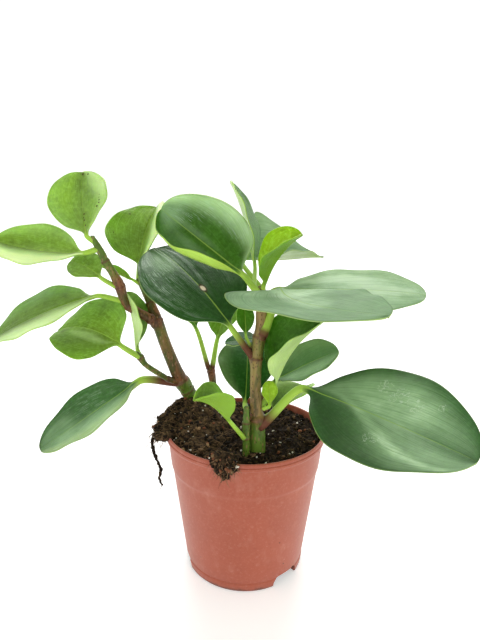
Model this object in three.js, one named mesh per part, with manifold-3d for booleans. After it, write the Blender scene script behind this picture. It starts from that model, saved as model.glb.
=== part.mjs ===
// Potted peperomia in a terracotta coloured nursery pot.
// Millimetres, +Z up, origin at the centre of the pot's base, -Y is the front.

import * as THREE from 'three';
import { ParametricGeometry } from 'three/addons/geometries/ParametricGeometry.js';
import { mergeVertices } from 'three/addons/utils/BufferGeometryUtils.js';
import Module from 'manifold-3d';

const wasm = await Module();
wasm.setup();

// Driving dimensions
const GAP = 0.35;
const POT_HEIGHT = 108;
const RIM_RADIUS = 60;
const SHOULDER_HEIGHT = 80;
const SHOULDER_RADIUS = 55.6;
const BASE_RADIUS = 45;
const FLOOR = 1.6;
const SOIL_HEIGHT = 105;
const POT_SIDES = 40;
const SOIL_SIDES = 28;
const NOTCH_ANGLES = [ - 47, 73, 193 ];
const NOTCH_WIDTH = 24;
const NOTCH_HEIGHT = 8;
const BLADE_EDGE = 0.8;
const BLADE_MIDDLE = 1.5;

const COLOURS = {
	pot: 0xb5674f,
	soil: 0x2e211a,
	stem: 0x6f6a35,
	dark: 0x1f4a2b,
	mid: 0x3c7a35,
	lime: 0x7fb535
};

// Pot outline on its outer face, from the floor to the lip
const POT_OUTSIDE = [
	[ BASE_RADIUS, 0 ], [ BASE_RADIUS + 0.8, 1 ], [ BASE_RADIUS + 1.2, 6.2 ], [ BASE_RADIUS + 0.9, 7 ],
	[ SHOULDER_RADIUS, SHOULDER_HEIGHT ], [ SHOULDER_RADIUS + 1, SHOULDER_HEIGHT + 2 ],
	[ RIM_RADIUS - 1.6, POT_HEIGHT - 7 ], [ RIM_RADIUS, POT_HEIGHT - 5 ],
	[ RIM_RADIUS, POT_HEIGHT - 0.6 ], [ RIM_RADIUS - 0.5, POT_HEIGHT ]
];

// Inner radius of the pot at a height, from the floor up
const POT_INSIDE = [
	[ BASE_RADIUS - 0.8, FLOOR ], [ SHOULDER_RADIUS - 1.2, SHOULDER_HEIGHT - 0.5 ],
	[ SHOULDER_RADIUS - 0.2, SHOULDER_HEIGHT + 2 ], [ RIM_RADIUS - 1.8, POT_HEIGHT ]
];

// Loose soil that lies over the rim: turn from +X in degrees, radius, height, size across, in and up
const RIM_LUMPS = [
	[ 128, 54, 112, 10, 8, 6 ], [ 141, 56, 113, 10, 8, 7 ], [ 154, 57, 113, 10, 8, 7 ],
	[ 166, 58, 112, 9, 8, 6 ],
	[ 177, 60, 111, 9, 8, 5 ], [ 187, 62, 109, 9, 8, 5 ], [ 196, 62, 108, 7, 8, 4 ],
	[ 252, 54, 107, 10, 8, 6 ], [ 255, 60.5, 104, 8, 3, 7 ]
];

// A dark root that hangs out of the soil at the left
const ROOT_STRAND = [
	[ - 66, - 16, 108, 1.1 ], [ - 68, - 20, 104, 0.9 ], [ - 67, - 21, 97, 0.8 ], [ - 64, - 22, 89, 0.8 ],
	[ - 62, - 22, 83, 0.8 ], [ - 63, - 23, 76, 0.7 ], [ - 61, - 23, 71, 0.5 ]
];

// Stems: points along the axis with the radius at each one
const STEMS = {
	stem_left: [
		[ [ - 28, 27, 78, 5.6 ], [ - 35, 31, 100, 6.0 ], [ - 42, 32, 114, 6.0 ], [ - 47, 29, 125, 5.9 ],
			[ - 51, 27, 133, 6.6 ], [ - 53, 26, 137, 5.6 ], [ - 57, 23, 148, 5.0 ], [ - 63, 20, 166, 4.6 ],
			[ - 67, 18, 180, 4.6 ], [ - 69, 17, 185, 5.4 ], [ - 71, 19, 191, 4.4 ], [ - 75, 22, 201, 3.4 ],
			[ - 80, 26, 211, 3.2 ], [ - 84, 28, 217, 2.6 ] ],
		[ [ - 68, 17, 183, 4.0 ], [ - 73, 14, 188, 3.9 ], [ - 80, 11, 193, 3.4 ], [ - 88, 8, 199, 3.5 ],
			[ - 91, 5, 206, 3.3 ], [ - 93, 4, 215, 3.9 ], [ - 97, 1, 225, 3.0 ], [ - 101, 0, 232, 3.1 ],
			[ - 105, - 2, 242, 2.5 ], [ - 109, - 4, 250, 1.9 ] ],
		[ [ - 52, 26, 134, 3.2 ], [ - 60, 19, 138, 2.3 ], [ - 70, 12, 147, 2.1 ], [ - 77, 8, 154, 2.1 ],
			[ - 80, 6, 160, 2.7 ], [ - 83, 4, 164, 1.9 ] ]
	],
	stem_right: [
		[ [ 9, - 33, 68, 5.0 ], [ 8, - 35, 96, 5.4 ], [ 8, - 35, 110, 5.4 ], [ 8, - 35, 124, 5.2 ],
			[ 8, - 35, 129, 5.9 ], [ 7, - 34, 134, 4.4 ], [ 6, - 34, 150, 3.8 ], [ 6, - 33, 166, 4.0 ],
			[ 6, - 33, 172, 4.8 ], [ 7, - 33, 177, 3.9 ], [ 8, - 33, 186, 4.6 ], [ 9, - 33, 193, 3.8 ],
			[ 9, - 32, 203, 3.6 ], [ 9, - 31, 213, 3.2 ], [ 9, - 30, 220, 2.6 ] ]
	],
	stem_thin: [
		[ [ 0, - 39, 74, 2.6 ], [ 0, - 39.5, 100, 2.6 ], [ 0, - 39.5, 118, 2.4 ], [ 0, - 39, 128, 2.7 ],
			[ 0, - 38.5, 134, 2.0 ], [ 0, - 38, 139, 1.9 ] ]
	],
	stem_back: [
		[ [ - 22, 38, 78, 3.0 ], [ - 26, 41, 104, 3.0 ], [ - 27, 42, 124, 2.9 ], [ - 29, 43, 138, 3.4 ],
			[ - 30, 43, 141, 2.2 ] ]
	]
};

// Leaves: stem, root point on the stem, base of the blade, heading and pitch of the blade,
// roll, length, width, droop, fold of the left and right half, curl of the left and right half,
// widest place, sideways sweep, twist, radius of the leaf stalk, colour
const LEAVES = {
	leaf_left_1: {
		stem: 'stem_left', root: [ - 107, - 3, 246 ], base: [ - 112, - 6, 251 ],
		az: 119, el: 62, roll: 37, length: 51, width: 47, bend: 9,
		fl: 15, fr: 19, cl: 12, cr: 12, p: 1.0, sway: 6, twist: - 16,
		stalk: 1.5, colour: 'lime'
	},
	leaf_left_2: {
		stem: 'stem_left', root: [ - 105, - 2, 242 ], base: [ - 115, - 3, 239 ],
		az: 160, el: - 6, roll: 34, length: 75, width: 43, bend: - 26,
		fl: 14, fr: 20, cl: 10, cr: 12, p: 1.02, sway: 3, twist: 9,
		stalk: 1.9, colour: 'lime'
	},
	leaf_left_3: {
		stem: 'stem_left', root: [ - 92, 4, 212 ], base: [ - 106, 2, 221 ],
		az: 147, el: 30, roll: 30, length: 35, width: 25, bend: 26,
		fl: 2, fr: 15, cl: 6, cr: 6, p: 1.0, sway: - 13, twist: 4,
		stalk: 1.5, colour: 'mid'
	},
	leaf_left_4: {
		stem: 'stem_left', root: [ - 90, 6, 203 ], base: [ - 111, 5, 207 ],
		az: 182, el: - 15, roll: 23, length: 83, width: 50, bend: 16,
		fl: 6, fr: 13, cl: 6, cr: 6, p: 1.0, sway: - 6, twist: 2,
		stalk: 1.8, colour: 'lime'
	},
	leaf_left_5: {
		stem: 'stem_left', root: [ - 80, 6, 160 ], base: [ - 92, - 4, 172 ],
		az: 171, el: 36, roll: 22, length: 62, width: 59, bend: 68,
		fl: - 14, fr: 31, cl: - 8, cr: 12, p: 0.78, sway: 5, twist: - 17,
		stalk: 1.9, colour: 'lime'
	},
	leaf_left_6: {
		stem: 'stem_left', root: [ - 78, 7, 157 ], base: [ - 83, 10, 166 ],
		az: 176, el: 90, roll: 4, length: 44, width: 33, bend: 20,
		fl: 41, fr: 18, cl: 6, cr: 8, p: 1.25, sway: - 3, twist: 6,
		stalk: 1.6, colour: 'mid'
	},
	leaf_left_7: {
		stem: 'stem_left', root: [ - 53, 25, 134 ], base: [ - 85, 17, 137 ],
		az: 200, el: - 32, roll: 15, length: 88, width: 53, bend: 0,
		fl: 9, fr: 11, cl: 7, cr: 7, p: 0.9, sway: 1, twist: 9,
		stalk: 2.6, colour: 'dark'
	},
	leaf_left_8: {
		stem: 'stem_left', root: [ - 84, 28, 216 ], base: [ - 83.5, 29, 227 ],
		az: 92, el: 55, roll: 26, length: 64, width: 62, bend: 24,
		fl: 32, fr: 22, cl: 15, cr: 12, p: 0.86, sway: 6, twist: 3,
		stalk: 1.9, colour: 'lime'
	},
	leaf_left_9: {
		stem: 'stem_left', root: [ - 82, 27, 212 ], base: [ - 88, 24, 217 ],
		az: 186, el: 28, roll: - 40, length: 25, width: 12, bend: 10,
		fl: 15, fr: 15, cl: 10, cr: 10, p: 1.1, sway: 0, twist: 0,
		stalk: 1.1, colour: 'lime'
	},
	leaf_centre_1: {
		stem: 'stem_right', root: [ 5, - 34, 171 ], base: [ - 11, - 37, 194 ],
		az: 137, el: 42, roll: 17, length: 101, width: 73, bend: 30,
		fl: 0, fr: 6, cl: 2, cr: 2, p: 0.88, sway: - 1, twist: 0,
		stalk: 1.9, colour: 'dark'
	},
	leaf_centre_2: {
		stem: 'stem_right', root: [ 9, - 32, 213 ], base: [ - 4, - 37, 229 ],
		az: 138, el: 27, roll: 26, length: 82, width: 62, bend: - 10,
		fl: - 8, fr: 5, cl: 122, cr: 5, p: 0.84, sway: - 6, twist: 60,
		stalk: 2.0, colour: 'mid', full: true
	},
	leaf_centre_3: {
		stem: 'stem_right', root: [ 4, - 29, 218 ], base: [ 5, - 8, 233 ],
		az: 112, el: 71, roll: - 50, length: 63, width: 37, bend: 20,
		fl: 22, fr: 8, cl: 2, cr: 2, p: 0.98, sway: 0, twist: 8,
		stalk: 1.4, colour: 'mid'
	},
	leaf_centre_4: {
		stem: 'stem_right', root: [ 5, - 32, 175 ], base: [ - 1, - 33, 188 ],
		az: 100, el: 72, roll: 0, length: 22, width: 13, bend: 10,
		fl: 12, fr: 12, cl: 10, cr: 10, p: 1.1, sway: 0, twist: 0,
		stalk: 0.9, colour: 'mid'
	},
	leaf_centre_5: {
		stem: 'stem_right', root: [ 6, - 30, 168 ], base: [ 9, - 24, 182 ],
		az: 168, el: - 3, roll: 15, length: 25, width: 21, bend: 10,
		fl: 8, fr: 8, cl: 5, cr: 5, p: 1.1, sway: 0, twist: 0,
		stalk: 1.2, colour: 'dark'
	},
	leaf_centre_6: {
		stem: 'stem_thin', root: [ 0, - 38, 137 ], base: [ - 1, - 31.5, 139 ],
		az: 83, el: 48, roll: - 6, length: 58, width: 44, bend: 28,
		fl: 11, fr: 12, cl: 8, cr: 8, p: 1.17, sway: - 6, twist: 5,
		stalk: 1.6, colour: 'dark'
	},
	leaf_centre_7: {
		stem: 'stem_thin', root: [ - 1, - 40, 117 ], base: [ - 11, - 54, 136 ],
		az: 207, el: 55, roll: - 9, length: 37, width: 29, bend: 37,
		fl: 46, fr: 46, cl: 20, cr: 27, p: 1.05, sway: - 22, twist: 8,
		stalk: 1.4, colour: 'lime'
	},
	leaf_right_1: {
		stem: 'stem_right', root: [ 10, - 36, 188 ], base: [ 21, - 29, 218 ],
		az: - 88, el: - 2, roll: - 2, length: 108, width: 85, bend: - 4,
		fl: 1, fr: 6, cl: 2, cr: 2, p: 0.72, sway: - 44, twist: - 6,
		stalk: 2.6, colour: 'dark'
	},
	leaf_right_2: {
		stem: 'stem_right', root: [ 8, - 30, 207 ], base: [ 22, - 8, 215 ],
		az: - 3, el: 3, roll: - 6, length: 99, width: 67, bend: 5,
		fl: 6, fr: 0, cl: 1, cr: 1, p: 0.95, sway: 18, twist: - 12,
		stalk: 2.2, colour: 'dark', full: true
	},
	leaf_right_3: {
		stem: 'stem_right', root: [ 9, - 37, 124 ], base: [ 38, - 45, 155 ],
		az: - 46, el: - 2, roll: - 26, length: 112, width: 74, bend: - 1,
		fl: 9, fr: 5, cl: 4, cr: 4, p: 1.06, sway: 7, twist: 2,
		stalk: 3.2, colour: 'dark'
	},
	leaf_right_4: {
		stem: 'stem_right', root: [ 9, - 30, 216 ], base: [ 10, - 32, 221 ],
		az: - 24, el: 73, roll: - 17, length: 43, width: 33, bend: 38,
		fl: 37, fr: 40, cl: 15, cr: 5, p: 1.1, sway: 16, twist: - 22,
		stalk: 1.7, colour: 'lime'
	},
	leaf_right_5: {
		stem: 'stem_right', root: [ 12, - 27, 214 ], base: [ - 1, 14, 235 ],
		az: 10, el: 0, roll: - 60, length: 62, width: 74, bend: 7,
		fl: 8, fr: 55, cl: 5, cr: 10, p: 0.42, sway: - 4, twist: 31,
		stalk: 1.6, colour: 'dark', full: true, pointed: true
	},
	leaf_right_6: {
		stem: 'stem_right', root: [ 8, - 34, 133 ], base: [ 19, - 31, 154 ],
		az: - 15, el: 74, roll: - 16, length: 56, width: 48, bend: 33,
		fl: 40, fr: 42, cl: 19, cr: 8, p: 1.1, sway: 18, twist: - 19,
		stalk: 1.8, colour: 'mid'
	},
	leaf_right_7: {
		stem: 'stem_right', root: [ 8, - 31, 141 ], base: [ 21, - 10, 148 ],
		az: - 21, el: 36, roll: - 25, length: 52, width: 39, bend: 12,
		fl: 13, fr: 11, cl: 4, cr: 4, p: 1.16, sway: - 1, twist: - 10,
		stalk: 1.6, colour: 'dark'
	},
	leaf_right_8: {
		stem: 'stem_right', root: [ 10, - 32, 127 ], base: [ 19, - 26, 131 ],
		az: 50, el: 28, roll: - 3, length: 45, width: 38, bend: 40,
		fl: 15, fr: 19, cl: 8, cr: 9, p: 1.0, sway: - 3, twist: 6,
		stalk: 1.6, colour: 'lime'
	},
	leaf_right_9: {
		stem: 'stem_right', root: [ 11, - 37, 137 ], base: [ 15.5, - 39, 140.5 ],
		az: 106, el: 83, roll: 0, length: 17, width: 12, bend: 8,
		fl: 14, fr: 15, cl: 8, cr: 8, p: 1.45, sway: 0, twist: 0,
		stalk: 1.2, colour: 'lime'
	},
	leaf_back_1: {
		stem: 'stem_back', root: [ - 31, 43, 140 ], base: [ - 40, 36, 175 ],
		az: 150, el: 60, roll: 0, length: 44, width: 30, bend: 20,
		fl: 12, fr: 12, cl: 8, cr: 8, p: 1.1, sway: 0, twist: 0,
		stalk: 1.3, colour: 'mid'
	},
	leaf_back_2: {
		stem: 'stem_back', root: [ - 28, 43, 140 ], base: [ - 24, 47, 164 ],
		az: 60, el: 62, roll: 0, length: 48, width: 34, bend: 20,
		fl: 12, fr: 12, cl: 8, cr: 8, p: 1.1, sway: 0, twist: 0,
		stalk: 1.5, colour: 'mid'
	}
};

function closedSolid( geometry ) {

	const bare = geometry.index ? geometry.toNonIndexed() : geometry.clone();
	for ( const name of Object.keys( bare.attributes ) ) {

		if ( name !== 'position' ) bare.deleteAttribute( name );

	}

	const merged = mergeVertices( bare, 1e-4 );
	const index = merged.index.array;
	const kept = [];
	for ( let i = 0; i < index.length; i += 3 ) {

		const [ a, b, c ] = [ index[ i ], index[ i + 1 ], index[ i + 2 ] ];
		if ( a !== b && b !== c && c !== a ) kept.push( a, b, c );

	}

	const solid = new wasm.Manifold( new wasm.Mesh( {
		numProp: 3,
		vertProperties: new Float32Array( merged.attributes.position.array ),
		triVerts: new Uint32Array( kept )
	} ) );
	if ( solid.volume() > 0 ) return solid;
	for ( let i = 0; i < kept.length; i += 3 ) {

		[ kept[ i + 1 ], kept[ i + 2 ] ] = [ kept[ i + 2 ], kept[ i + 1 ] ];

	}

	return new wasm.Manifold( new wasm.Mesh( {
		numProp: 3,
		vertProperties: new Float32Array( merged.attributes.position.array ),
		triVerts: new Uint32Array( kept )
	} ) );

}

function largestPiece( solid ) {

	return solid.decompose().sort( ( a, b ) => b.volume() - a.volume() )[ 0 ];

}

function geometryOf( solid ) {

	const mesh = solid.getMesh();
	const geometry = new THREE.BufferGeometry();
	const corners = new Float32Array( mesh.vertProperties );
	geometry.setAttribute( 'position', new THREE.BufferAttribute( corners, 3 ) );
	geometry.setIndex( Array.from( mesh.triVerts ) );
	geometry.computeVertexNormals();
	return geometry;

}

// A tube along a smooth line with a radius that changes, closed at both ends
function tubeSolid( points, grow, sides, steps ) {

	const stops = points.map( ( [ x, y, z ] ) => new THREE.Vector3( x, y, z ) );
	const line = new THREE.CatmullRomCurve3( stops, false, 'centripetal' );
	const frames = line.computeFrenetFrames( steps, false );
	const radiusAt = ( t ) => {

		const place = t * ( points.length - 1 );
		const i = Math.min( points.length - 2, Math.floor( place ) );
		return THREE.MathUtils.lerp( points[ i ][ 3 ], points[ i + 1 ][ 3 ], place - i ) + grow;

	};

	const place = ( u, v, target ) => {

		const k = Math.round( v * ( steps + 2 ) ) - 1;
		const i = THREE.MathUtils.clamp( k, 0, steps );
		const t = i / steps;
		line.getPoint( t, target );
		const radius = k < 0 || k > steps ? 0 : radiusAt( t );
		if ( i === 0 || i === steps ) target.addScaledVector( line.getTangent( t ), i === 0 ? - grow : grow );
		const turn = 2 * Math.PI * ( Math.round( u * sides ) % sides ) / sides;
		const normal = frames.normals[ i ];
		const binormal = frames.binormals[ i ];
		target.addScaledVector( normal, radius * Math.cos( turn ) );
		target.addScaledVector( binormal, radius * Math.sin( turn ) );

	};

	return closedSolid( new ParametricGeometry( place, sides, steps + 2 ) );

}

function stemSolid( name, grow ) {

	let solid = null;
	for ( const points of STEMS[ name ] ) {

		const tube = tubeSolid( points, grow, 8, points.length - 1 );
		solid = solid ? solid.add( tube ) : tube;

	}

	return solid;

}

// Share of the full half width at a place along the midrib, 0 at the base to 1 at the tip
function bladeOutline( leaf, t ) {

	const power = THREE.MathUtils.lerp( leaf.full ? 0.6 : 0.9, leaf.pointed ? 1.1 : 0.5, t );
	return Math.pow( Math.max( 0, Math.sin( Math.PI * Math.pow( t, leaf.p ) ) ), power );

}

// A direction turned towards another one at right angles to it
function turned( from, towards, angle ) {

	return from.clone().multiplyScalar( Math.cos( angle ) ).addScaledVector( towards, Math.sin( angle ) );

}

// Direction of the blade at its base, with its right side and its upper side
function leafFrame( leaf ) {

	const [ a, e, r ] = [ leaf.az, leaf.el, leaf.roll ].map( THREE.MathUtils.degToRad );
	const ahead = new THREE.Vector3( Math.cos( a ), Math.sin( a ), Math.tan( e ) ).normalize();
	const level = new THREE.Vector3( Math.sin( a ), - Math.cos( a ), 0 );
	const over = new THREE.Vector3().crossVectors( level, ahead );
	return { ahead, side: turned( level, over, r ), up: turned( over, level, - r ) };

}

// Midrib of the blade as rings: centre, side direction and upward direction
function bladeRings( leaf, steps ) {

	const { ahead, side, up } = leafFrame( leaf );
	const [ bend, sway, twist ] = [ leaf.bend, leaf.sway, leaf.twist ].map( THREE.MathUtils.degToRad );
	const centre = new THREE.Vector3( ...leaf.base );
	const step = leaf.length / steps;
	const rings = [];
	for ( let i = 0; i <= steps; i ++ ) {

		const t = i / steps;
		if ( i > 0 ) {

			const middle = t - 0.5 / steps;
			const flat = turned( ahead, side, sway * middle );
			centre.addScaledVector( turned( flat, up, - bend * middle ), step );

		}

		const flat = turned( ahead, side, sway * t );
		const across = turned( side, ahead, - sway * t );
		const above = turned( up, flat, bend * t );
		const half = leaf.width / 2 * bladeOutline( leaf, t );
		rings.push( {
			centre: centre.clone(),
			side: turned( across, above, twist * t ),
			up: turned( above, across, - twist * t ),
			half,
			t
		} );

	}

	return rings;

}

// A point of the blade's section: u runs from -1 at the left margin to 1 at the right one
function sectionPoint( leaf, half, u ) {

	const fold = THREE.MathUtils.degToRad( u < 0 ? leaf.fl : leaf.fr );
	const curl = THREE.MathUtils.degToRad( u < 0 ? leaf.cl : leaf.cr );
	const parts = 8;
	let [ x, y ] = [ 0, 0 ];
	for ( let i = 0; i < parts; i ++ ) {

		const angle = fold + curl * Math.abs( u ) * ( i + 0.5 ) / parts;
		x += Math.cos( angle ) * Math.abs( u ) / parts;
		y += Math.sin( angle ) * Math.abs( u ) / parts;

	}

	return [ Math.sign( u ) * x * half, y * half, fold + curl * Math.abs( u ) ];

}

// Rings of the leaf stalk from the stem to the blade, whose first ring gives its side direction
function stalkRings( leaf, first, steps ) {

	const root = new THREE.Vector3( ...leaf.root );
	const base = new THREE.Vector3( ...leaf.base );
	const { ahead } = leafFrame( leaf );
	const reach = root.distanceTo( base );
	const leave = root.clone().lerp( base, 0.4 );
	const arrive = base.clone().addScaledVector( ahead, - reach * 0.22 );
	const line = new THREE.CubicBezierCurve3( root, leave, arrive, base );
	const rings = [];
	let side = null;
	for ( let i = steps - 1; i >= 0; i -- ) {

		const t = i / steps;
		const along = line.getTangent( t );
		const from = side || first.side;
		side = from.clone().addScaledVector( along, - from.dot( along ) ).normalize();
		const up = new THREE.Vector3().crossVectors( side, along );
		rings.unshift( { centre: line.getPoint( t ), side, up, radius: leaf.stalk * ( 1.3 - 0.3 * t ) } );

	}

	return rings;

}

function leafSolid( leaf ) {

	const steps = leaf.length > 60 ? 10 : 8;
	const columns = 4;
	const stalkSteps = 4;
	const blade = bladeRings( leaf, steps );
	const stalk = stalkRings( leaf, blade[ 0 ], stalkSteps );
	const around = 2 * ( columns + 1 );
	const rows = [];
	const roundRow = ( ring, radius ) => {

		const row = [];
		for ( let j = 0; j < around; j ++ ) {

			const top = j <= columns;
			const k = top ? j : around - 1 - j;
			const angle = THREE.MathUtils.degToRad( 180 - 12 - k * ( 156 / columns ) );
			const y = Math.sin( angle ) * ( top ? 0.8 : - 1 );
			const point = ring.centre.clone().addScaledVector( ring.side, radius * Math.cos( angle ) );
			row.push( point.addScaledVector( ring.up, radius * y ) );

		}

		return row;

	};

	for ( const ring of stalk ) rows.push( roundRow( ring, ring.radius ) );
	for ( const ring of blade ) {

		const round = roundRow( ring, leaf.stalk );
		const blend = THREE.MathUtils.smoothstep( ring.t, 0, 0.16 );
		const half = Math.max( ring.half, ring.t > 0.5 ? leaf.width * 0.06 : leaf.stalk );
		const row = [];
		for ( let j = 0; j < around; j ++ ) {

			const top = j <= columns;
			const k = top ? j : around - 1 - j;
			const u = - 1 + 2 * k / columns;
			const [ x, y, angle ] = sectionPoint( leaf, half, u );
			const middle = 1 - Math.abs( u );
			const thick = BLADE_EDGE + ( BLADE_MIDDLE - BLADE_EDGE ) * middle;
			const rib = top ? 0 : leaf.stalk * Math.max( 0, 1 - Math.abs( u ) * 2.2 ) * Math.pow( 1 - ring.t, 1.5 );
			const lift = top ? thick / 2 : - thick / 2 - rib;
			const lean = u < 0 ? Math.sin( angle ) : - Math.sin( angle );
			const point = ring.centre.clone()
				.addScaledVector( ring.side, x + lift * lean )
				.addScaledVector( ring.up, y + lift * Math.cos( angle ) );
			row.push( round[ j ].clone().lerp( point, blend ) );

		}

		rows.push( row );

	}

	const middleOf = ( row ) => {

		const sum = new THREE.Vector3();
		for ( const point of row ) sum.add( point );
		return sum.multiplyScalar( 1 / around );

	};

	const start = middleOf( rows[ 0 ] );
	const tip = middleOf( rows[ rows.length - 1 ] );
	const last = rows.length + 1;
	const place = ( u, v, target ) => {

		const i = Math.round( v * last );
		const j = Math.round( u * around ) % around;
		if ( i === 0 ) target.copy( start );
		else if ( i === last ) target.copy( tip );
		else target.copy( rows[ i - 1 ][ j ] );

	};

	return closedSolid( new ParametricGeometry( place, around, last ) );

}

function latheSolid( profile, sides ) {

	const points = profile.map( ( [ r, z ] ) => new THREE.Vector2( r, z ) );
	const geometry = new THREE.LatheGeometry( points, sides );
	geometry.rotateX( Math.PI / 2 );
	return closedSolid( geometry );

}

// The pot, grown by a margin on all sides for cutting its neighbours
function potSolid( grow ) {

	const lift = ( z ) => z < 1 ? - grow : z > POT_HEIGHT - 1 ? grow : 0;
	const outside = POT_OUTSIDE.map( ( [ r, z ] ) => [ r + grow, z + lift( z ) ] );
	const ends = [ FLOOR, POT_HEIGHT ];
	const inside = POT_INSIDE.map( ( [ r, z ] ) => [ r - grow, ends.includes( z ) ? z + grow : z ] ).reverse();
	return latheSolid( [ [ 0, - grow ], ...outside, ...inside, [ 0, FLOOR + grow ] ], POT_SIDES );

}

function notchSolid( angle ) {

	const arch = new THREE.Shape();
	const half = NOTCH_WIDTH / 2;
	arch.moveTo( - half, - 3 );
	arch.lineTo( half, - 3 );
	arch.lineTo( half, 2 );
	arch.quadraticCurveTo( half - 1, NOTCH_HEIGHT, 0, NOTCH_HEIGHT );
	arch.quadraticCurveTo( - half + 1, NOTCH_HEIGHT, - half, 2 );
	const geometry = new THREE.ExtrudeGeometry( arch, { depth: 14, bevelEnabled: false, curveSegments: 5 } );
	geometry.rotateX( Math.PI / 2 );
	geometry.translate( 0, - BASE_RADIUS + 8, 0 );
	geometry.rotateZ( THREE.MathUtils.degToRad( angle + 90 ) );
	return closedSolid( geometry );

}

// Height of the soil's top over the pot, with the heap at the back left
function soilHeight( x, y ) {

	const heap = 15 * Math.exp( - ( ( x + 42 ) ** 2 / 900 + ( y - 22 ) ** 2 / 1200 ) );
	const small = 1.1 * Math.sin( x * 0.41 + 1.3 ) * Math.cos( y * 0.37 );
	const wide = 0.8 * Math.sin( x * 0.23 - y * 0.31 );
	return SOIL_HEIGHT + heap + small + wide;

}

function soilSolid( cutters ) {

	const rings = [ 0, 16, 32, 48 ];
	const clear = 2 * GAP;
	const profile = [
		[ 0, FLOOR + clear ], [ 30, FLOOR + clear ], [ 34, 9 ], [ BASE_RADIUS + 0.2 - clear, 12 ],
		[ SHOULDER_RADIUS - 1.2 - clear, SHOULDER_HEIGHT ], [ RIM_RADIUS - 2.5 - clear, POT_HEIGHT - 7 ]
	];
	const count = profile.length + rings.length;
	const place = ( u, v, target ) => {

		const i = Math.round( v * ( count - 1 ) );
		const turn = 2 * Math.PI * ( Math.round( u * SOIL_SIDES ) % SOIL_SIDES ) / SOIL_SIDES;
		const low = i < profile.length;
		const r = low ? profile[ i ][ 0 ] : rings[ count - 1 - i ];
		const [ x, y ] = [ r * Math.cos( turn ), r * Math.sin( turn ) ];
		target.set( x, y, low ? profile[ i ][ 1 ] : soilHeight( x, y ) );

	};

	let soil = closedSolid( new ParametricGeometry( place, SOIL_SIDES, count - 1 ) );
	for ( const [ turn, r, z, across, inward, upward ] of RIM_LUMPS ) {

		const lump = new THREE.IcosahedronGeometry( 1, 1 );
		lump.scale( inward, across, upward );
		lump.translate( r, 0, z );
		lump.rotateZ( THREE.MathUtils.degToRad( turn ) );
		soil = soil.add( closedSolid( lump ) );

	}

	soil = soil.add( tubeSolid( ROOT_STRAND, 0, 5, ROOT_STRAND.length - 1 ) );
	for ( const cutter of cutters ) soil = soil.subtract( cutter );
	return largestPiece( soil );

}

const group = new THREE.Group();

function put( name, solid, colour, roughness ) {

	const material = new THREE.MeshStandardMaterial( { color: colour, roughness, metalness: 0 } );
	const mesh = new THREE.Mesh( geometryOf( solid ), material );
	mesh.name = name;
	group.add( mesh );

}

const grownStems = {};
for ( const name of Object.keys( STEMS ) ) grownStems[ name ] = stemSolid( name, GAP );

let pot = potSolid( 0 );
for ( const angle of NOTCH_ANGLES ) pot = pot.subtract( notchSolid( angle ) );
put( 'pot', pot, COLOURS.pot, 0.6 );
put( 'soil', soilSolid( [ potSolid( GAP ), ...Object.values( grownStems ) ] ), COLOURS.soil, 0.95 );
for ( const name of Object.keys( STEMS ) ) put( name, stemSolid( name, 0 ), COLOURS.stem, 0.5 );
for ( const [ name, leaf ] of Object.entries( LEAVES ) ) {

	const cut = leafSolid( leaf ).subtract( grownStems[ leaf.stem ] );
	put( name, largestPiece( cut ), COLOURS[ leaf.colour ], 0.35 );

}

export default group;
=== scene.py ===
"""Potted peperomia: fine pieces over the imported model, with a pale stage, soft light and a camera."""
import math
import random
from collections import namedtuple

import bmesh
import bpy
import numpy as np
from mathutils import Matrix, Vector, noise


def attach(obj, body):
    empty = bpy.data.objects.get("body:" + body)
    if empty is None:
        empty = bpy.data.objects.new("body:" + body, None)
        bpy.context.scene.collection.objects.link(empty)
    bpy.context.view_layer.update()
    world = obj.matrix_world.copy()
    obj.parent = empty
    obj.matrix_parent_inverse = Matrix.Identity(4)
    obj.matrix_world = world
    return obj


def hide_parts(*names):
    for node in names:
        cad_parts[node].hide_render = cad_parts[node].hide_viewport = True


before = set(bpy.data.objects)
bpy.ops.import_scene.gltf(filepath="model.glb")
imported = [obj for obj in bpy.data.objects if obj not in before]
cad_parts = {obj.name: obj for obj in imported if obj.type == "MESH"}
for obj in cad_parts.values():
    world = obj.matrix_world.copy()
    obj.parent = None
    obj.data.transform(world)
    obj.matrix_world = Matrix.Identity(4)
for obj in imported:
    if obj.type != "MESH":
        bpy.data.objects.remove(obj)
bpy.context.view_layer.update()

bl_info = {
    "name": "Potted peperomia",
    "version": (1, 0, 0),
    "blender": (4, 5, 0),
    "location": "3D View > Sidebar > Plant",
    "description": "Builds the pot, the soil, the stems and the leaves of a potted peperomia",
    "category": "Object",
}

MM = 0.001

# Colours of marks, dirt and a darker foot, and of painted light: a whitish sheen, its highlight, glints and
# lit margins
# Painted light: a whitish sheen, its brightest highlight, streaky glints and light on lit margins
PAINTED_SHEEN = (0.35, 0.53, 0.29)
PAINTED_HIGHLIGHT = (0.58, 0.72, 0.5)
GLINT = (0.32, 0.42, 0.31)
LIT_MARGIN = (0.72, 0.92, 0.42)
FRESH_UNDERSIDE = (0.42, 0.62, 0.1)
BROWN_DOT = (0.05, 0.018, 0.008)
WATER_MARK = (0.6, 0.7, 0.55)
TEAR = (0.7, 0.58, 0.44)
TEAR_EDGE = (0.06, 0.04, 0.02)
TAN_BARK = (0.29, 0.22, 0.07)
NODE_RING = (0.1, 0.03, 0.018)
SCRATCH = (0.8, 0.62, 0.52)
# Darker towards the bottom of the foot
FOOT_DARKENING = (0.07, 0.03, 0.02)
SOIL_SPECK = (0.08, 0.03, 0.02)

# Camera target in millimetres and roll in degrees, direction of the lamp, strength of the sky as it
# is seen, and reach of the floor in metres
CAMERA_TARGET = (-5, 0, 191)
CAMERA_ROLL = 0.57
LAMP_FROM = (0, 0.75, 0.8)
SEEN_SKY = 1.1
FLOOR_REACH = 6

# Distance between the veins of a leaf, in half widths
VEIN_GAP = 0.17

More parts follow.
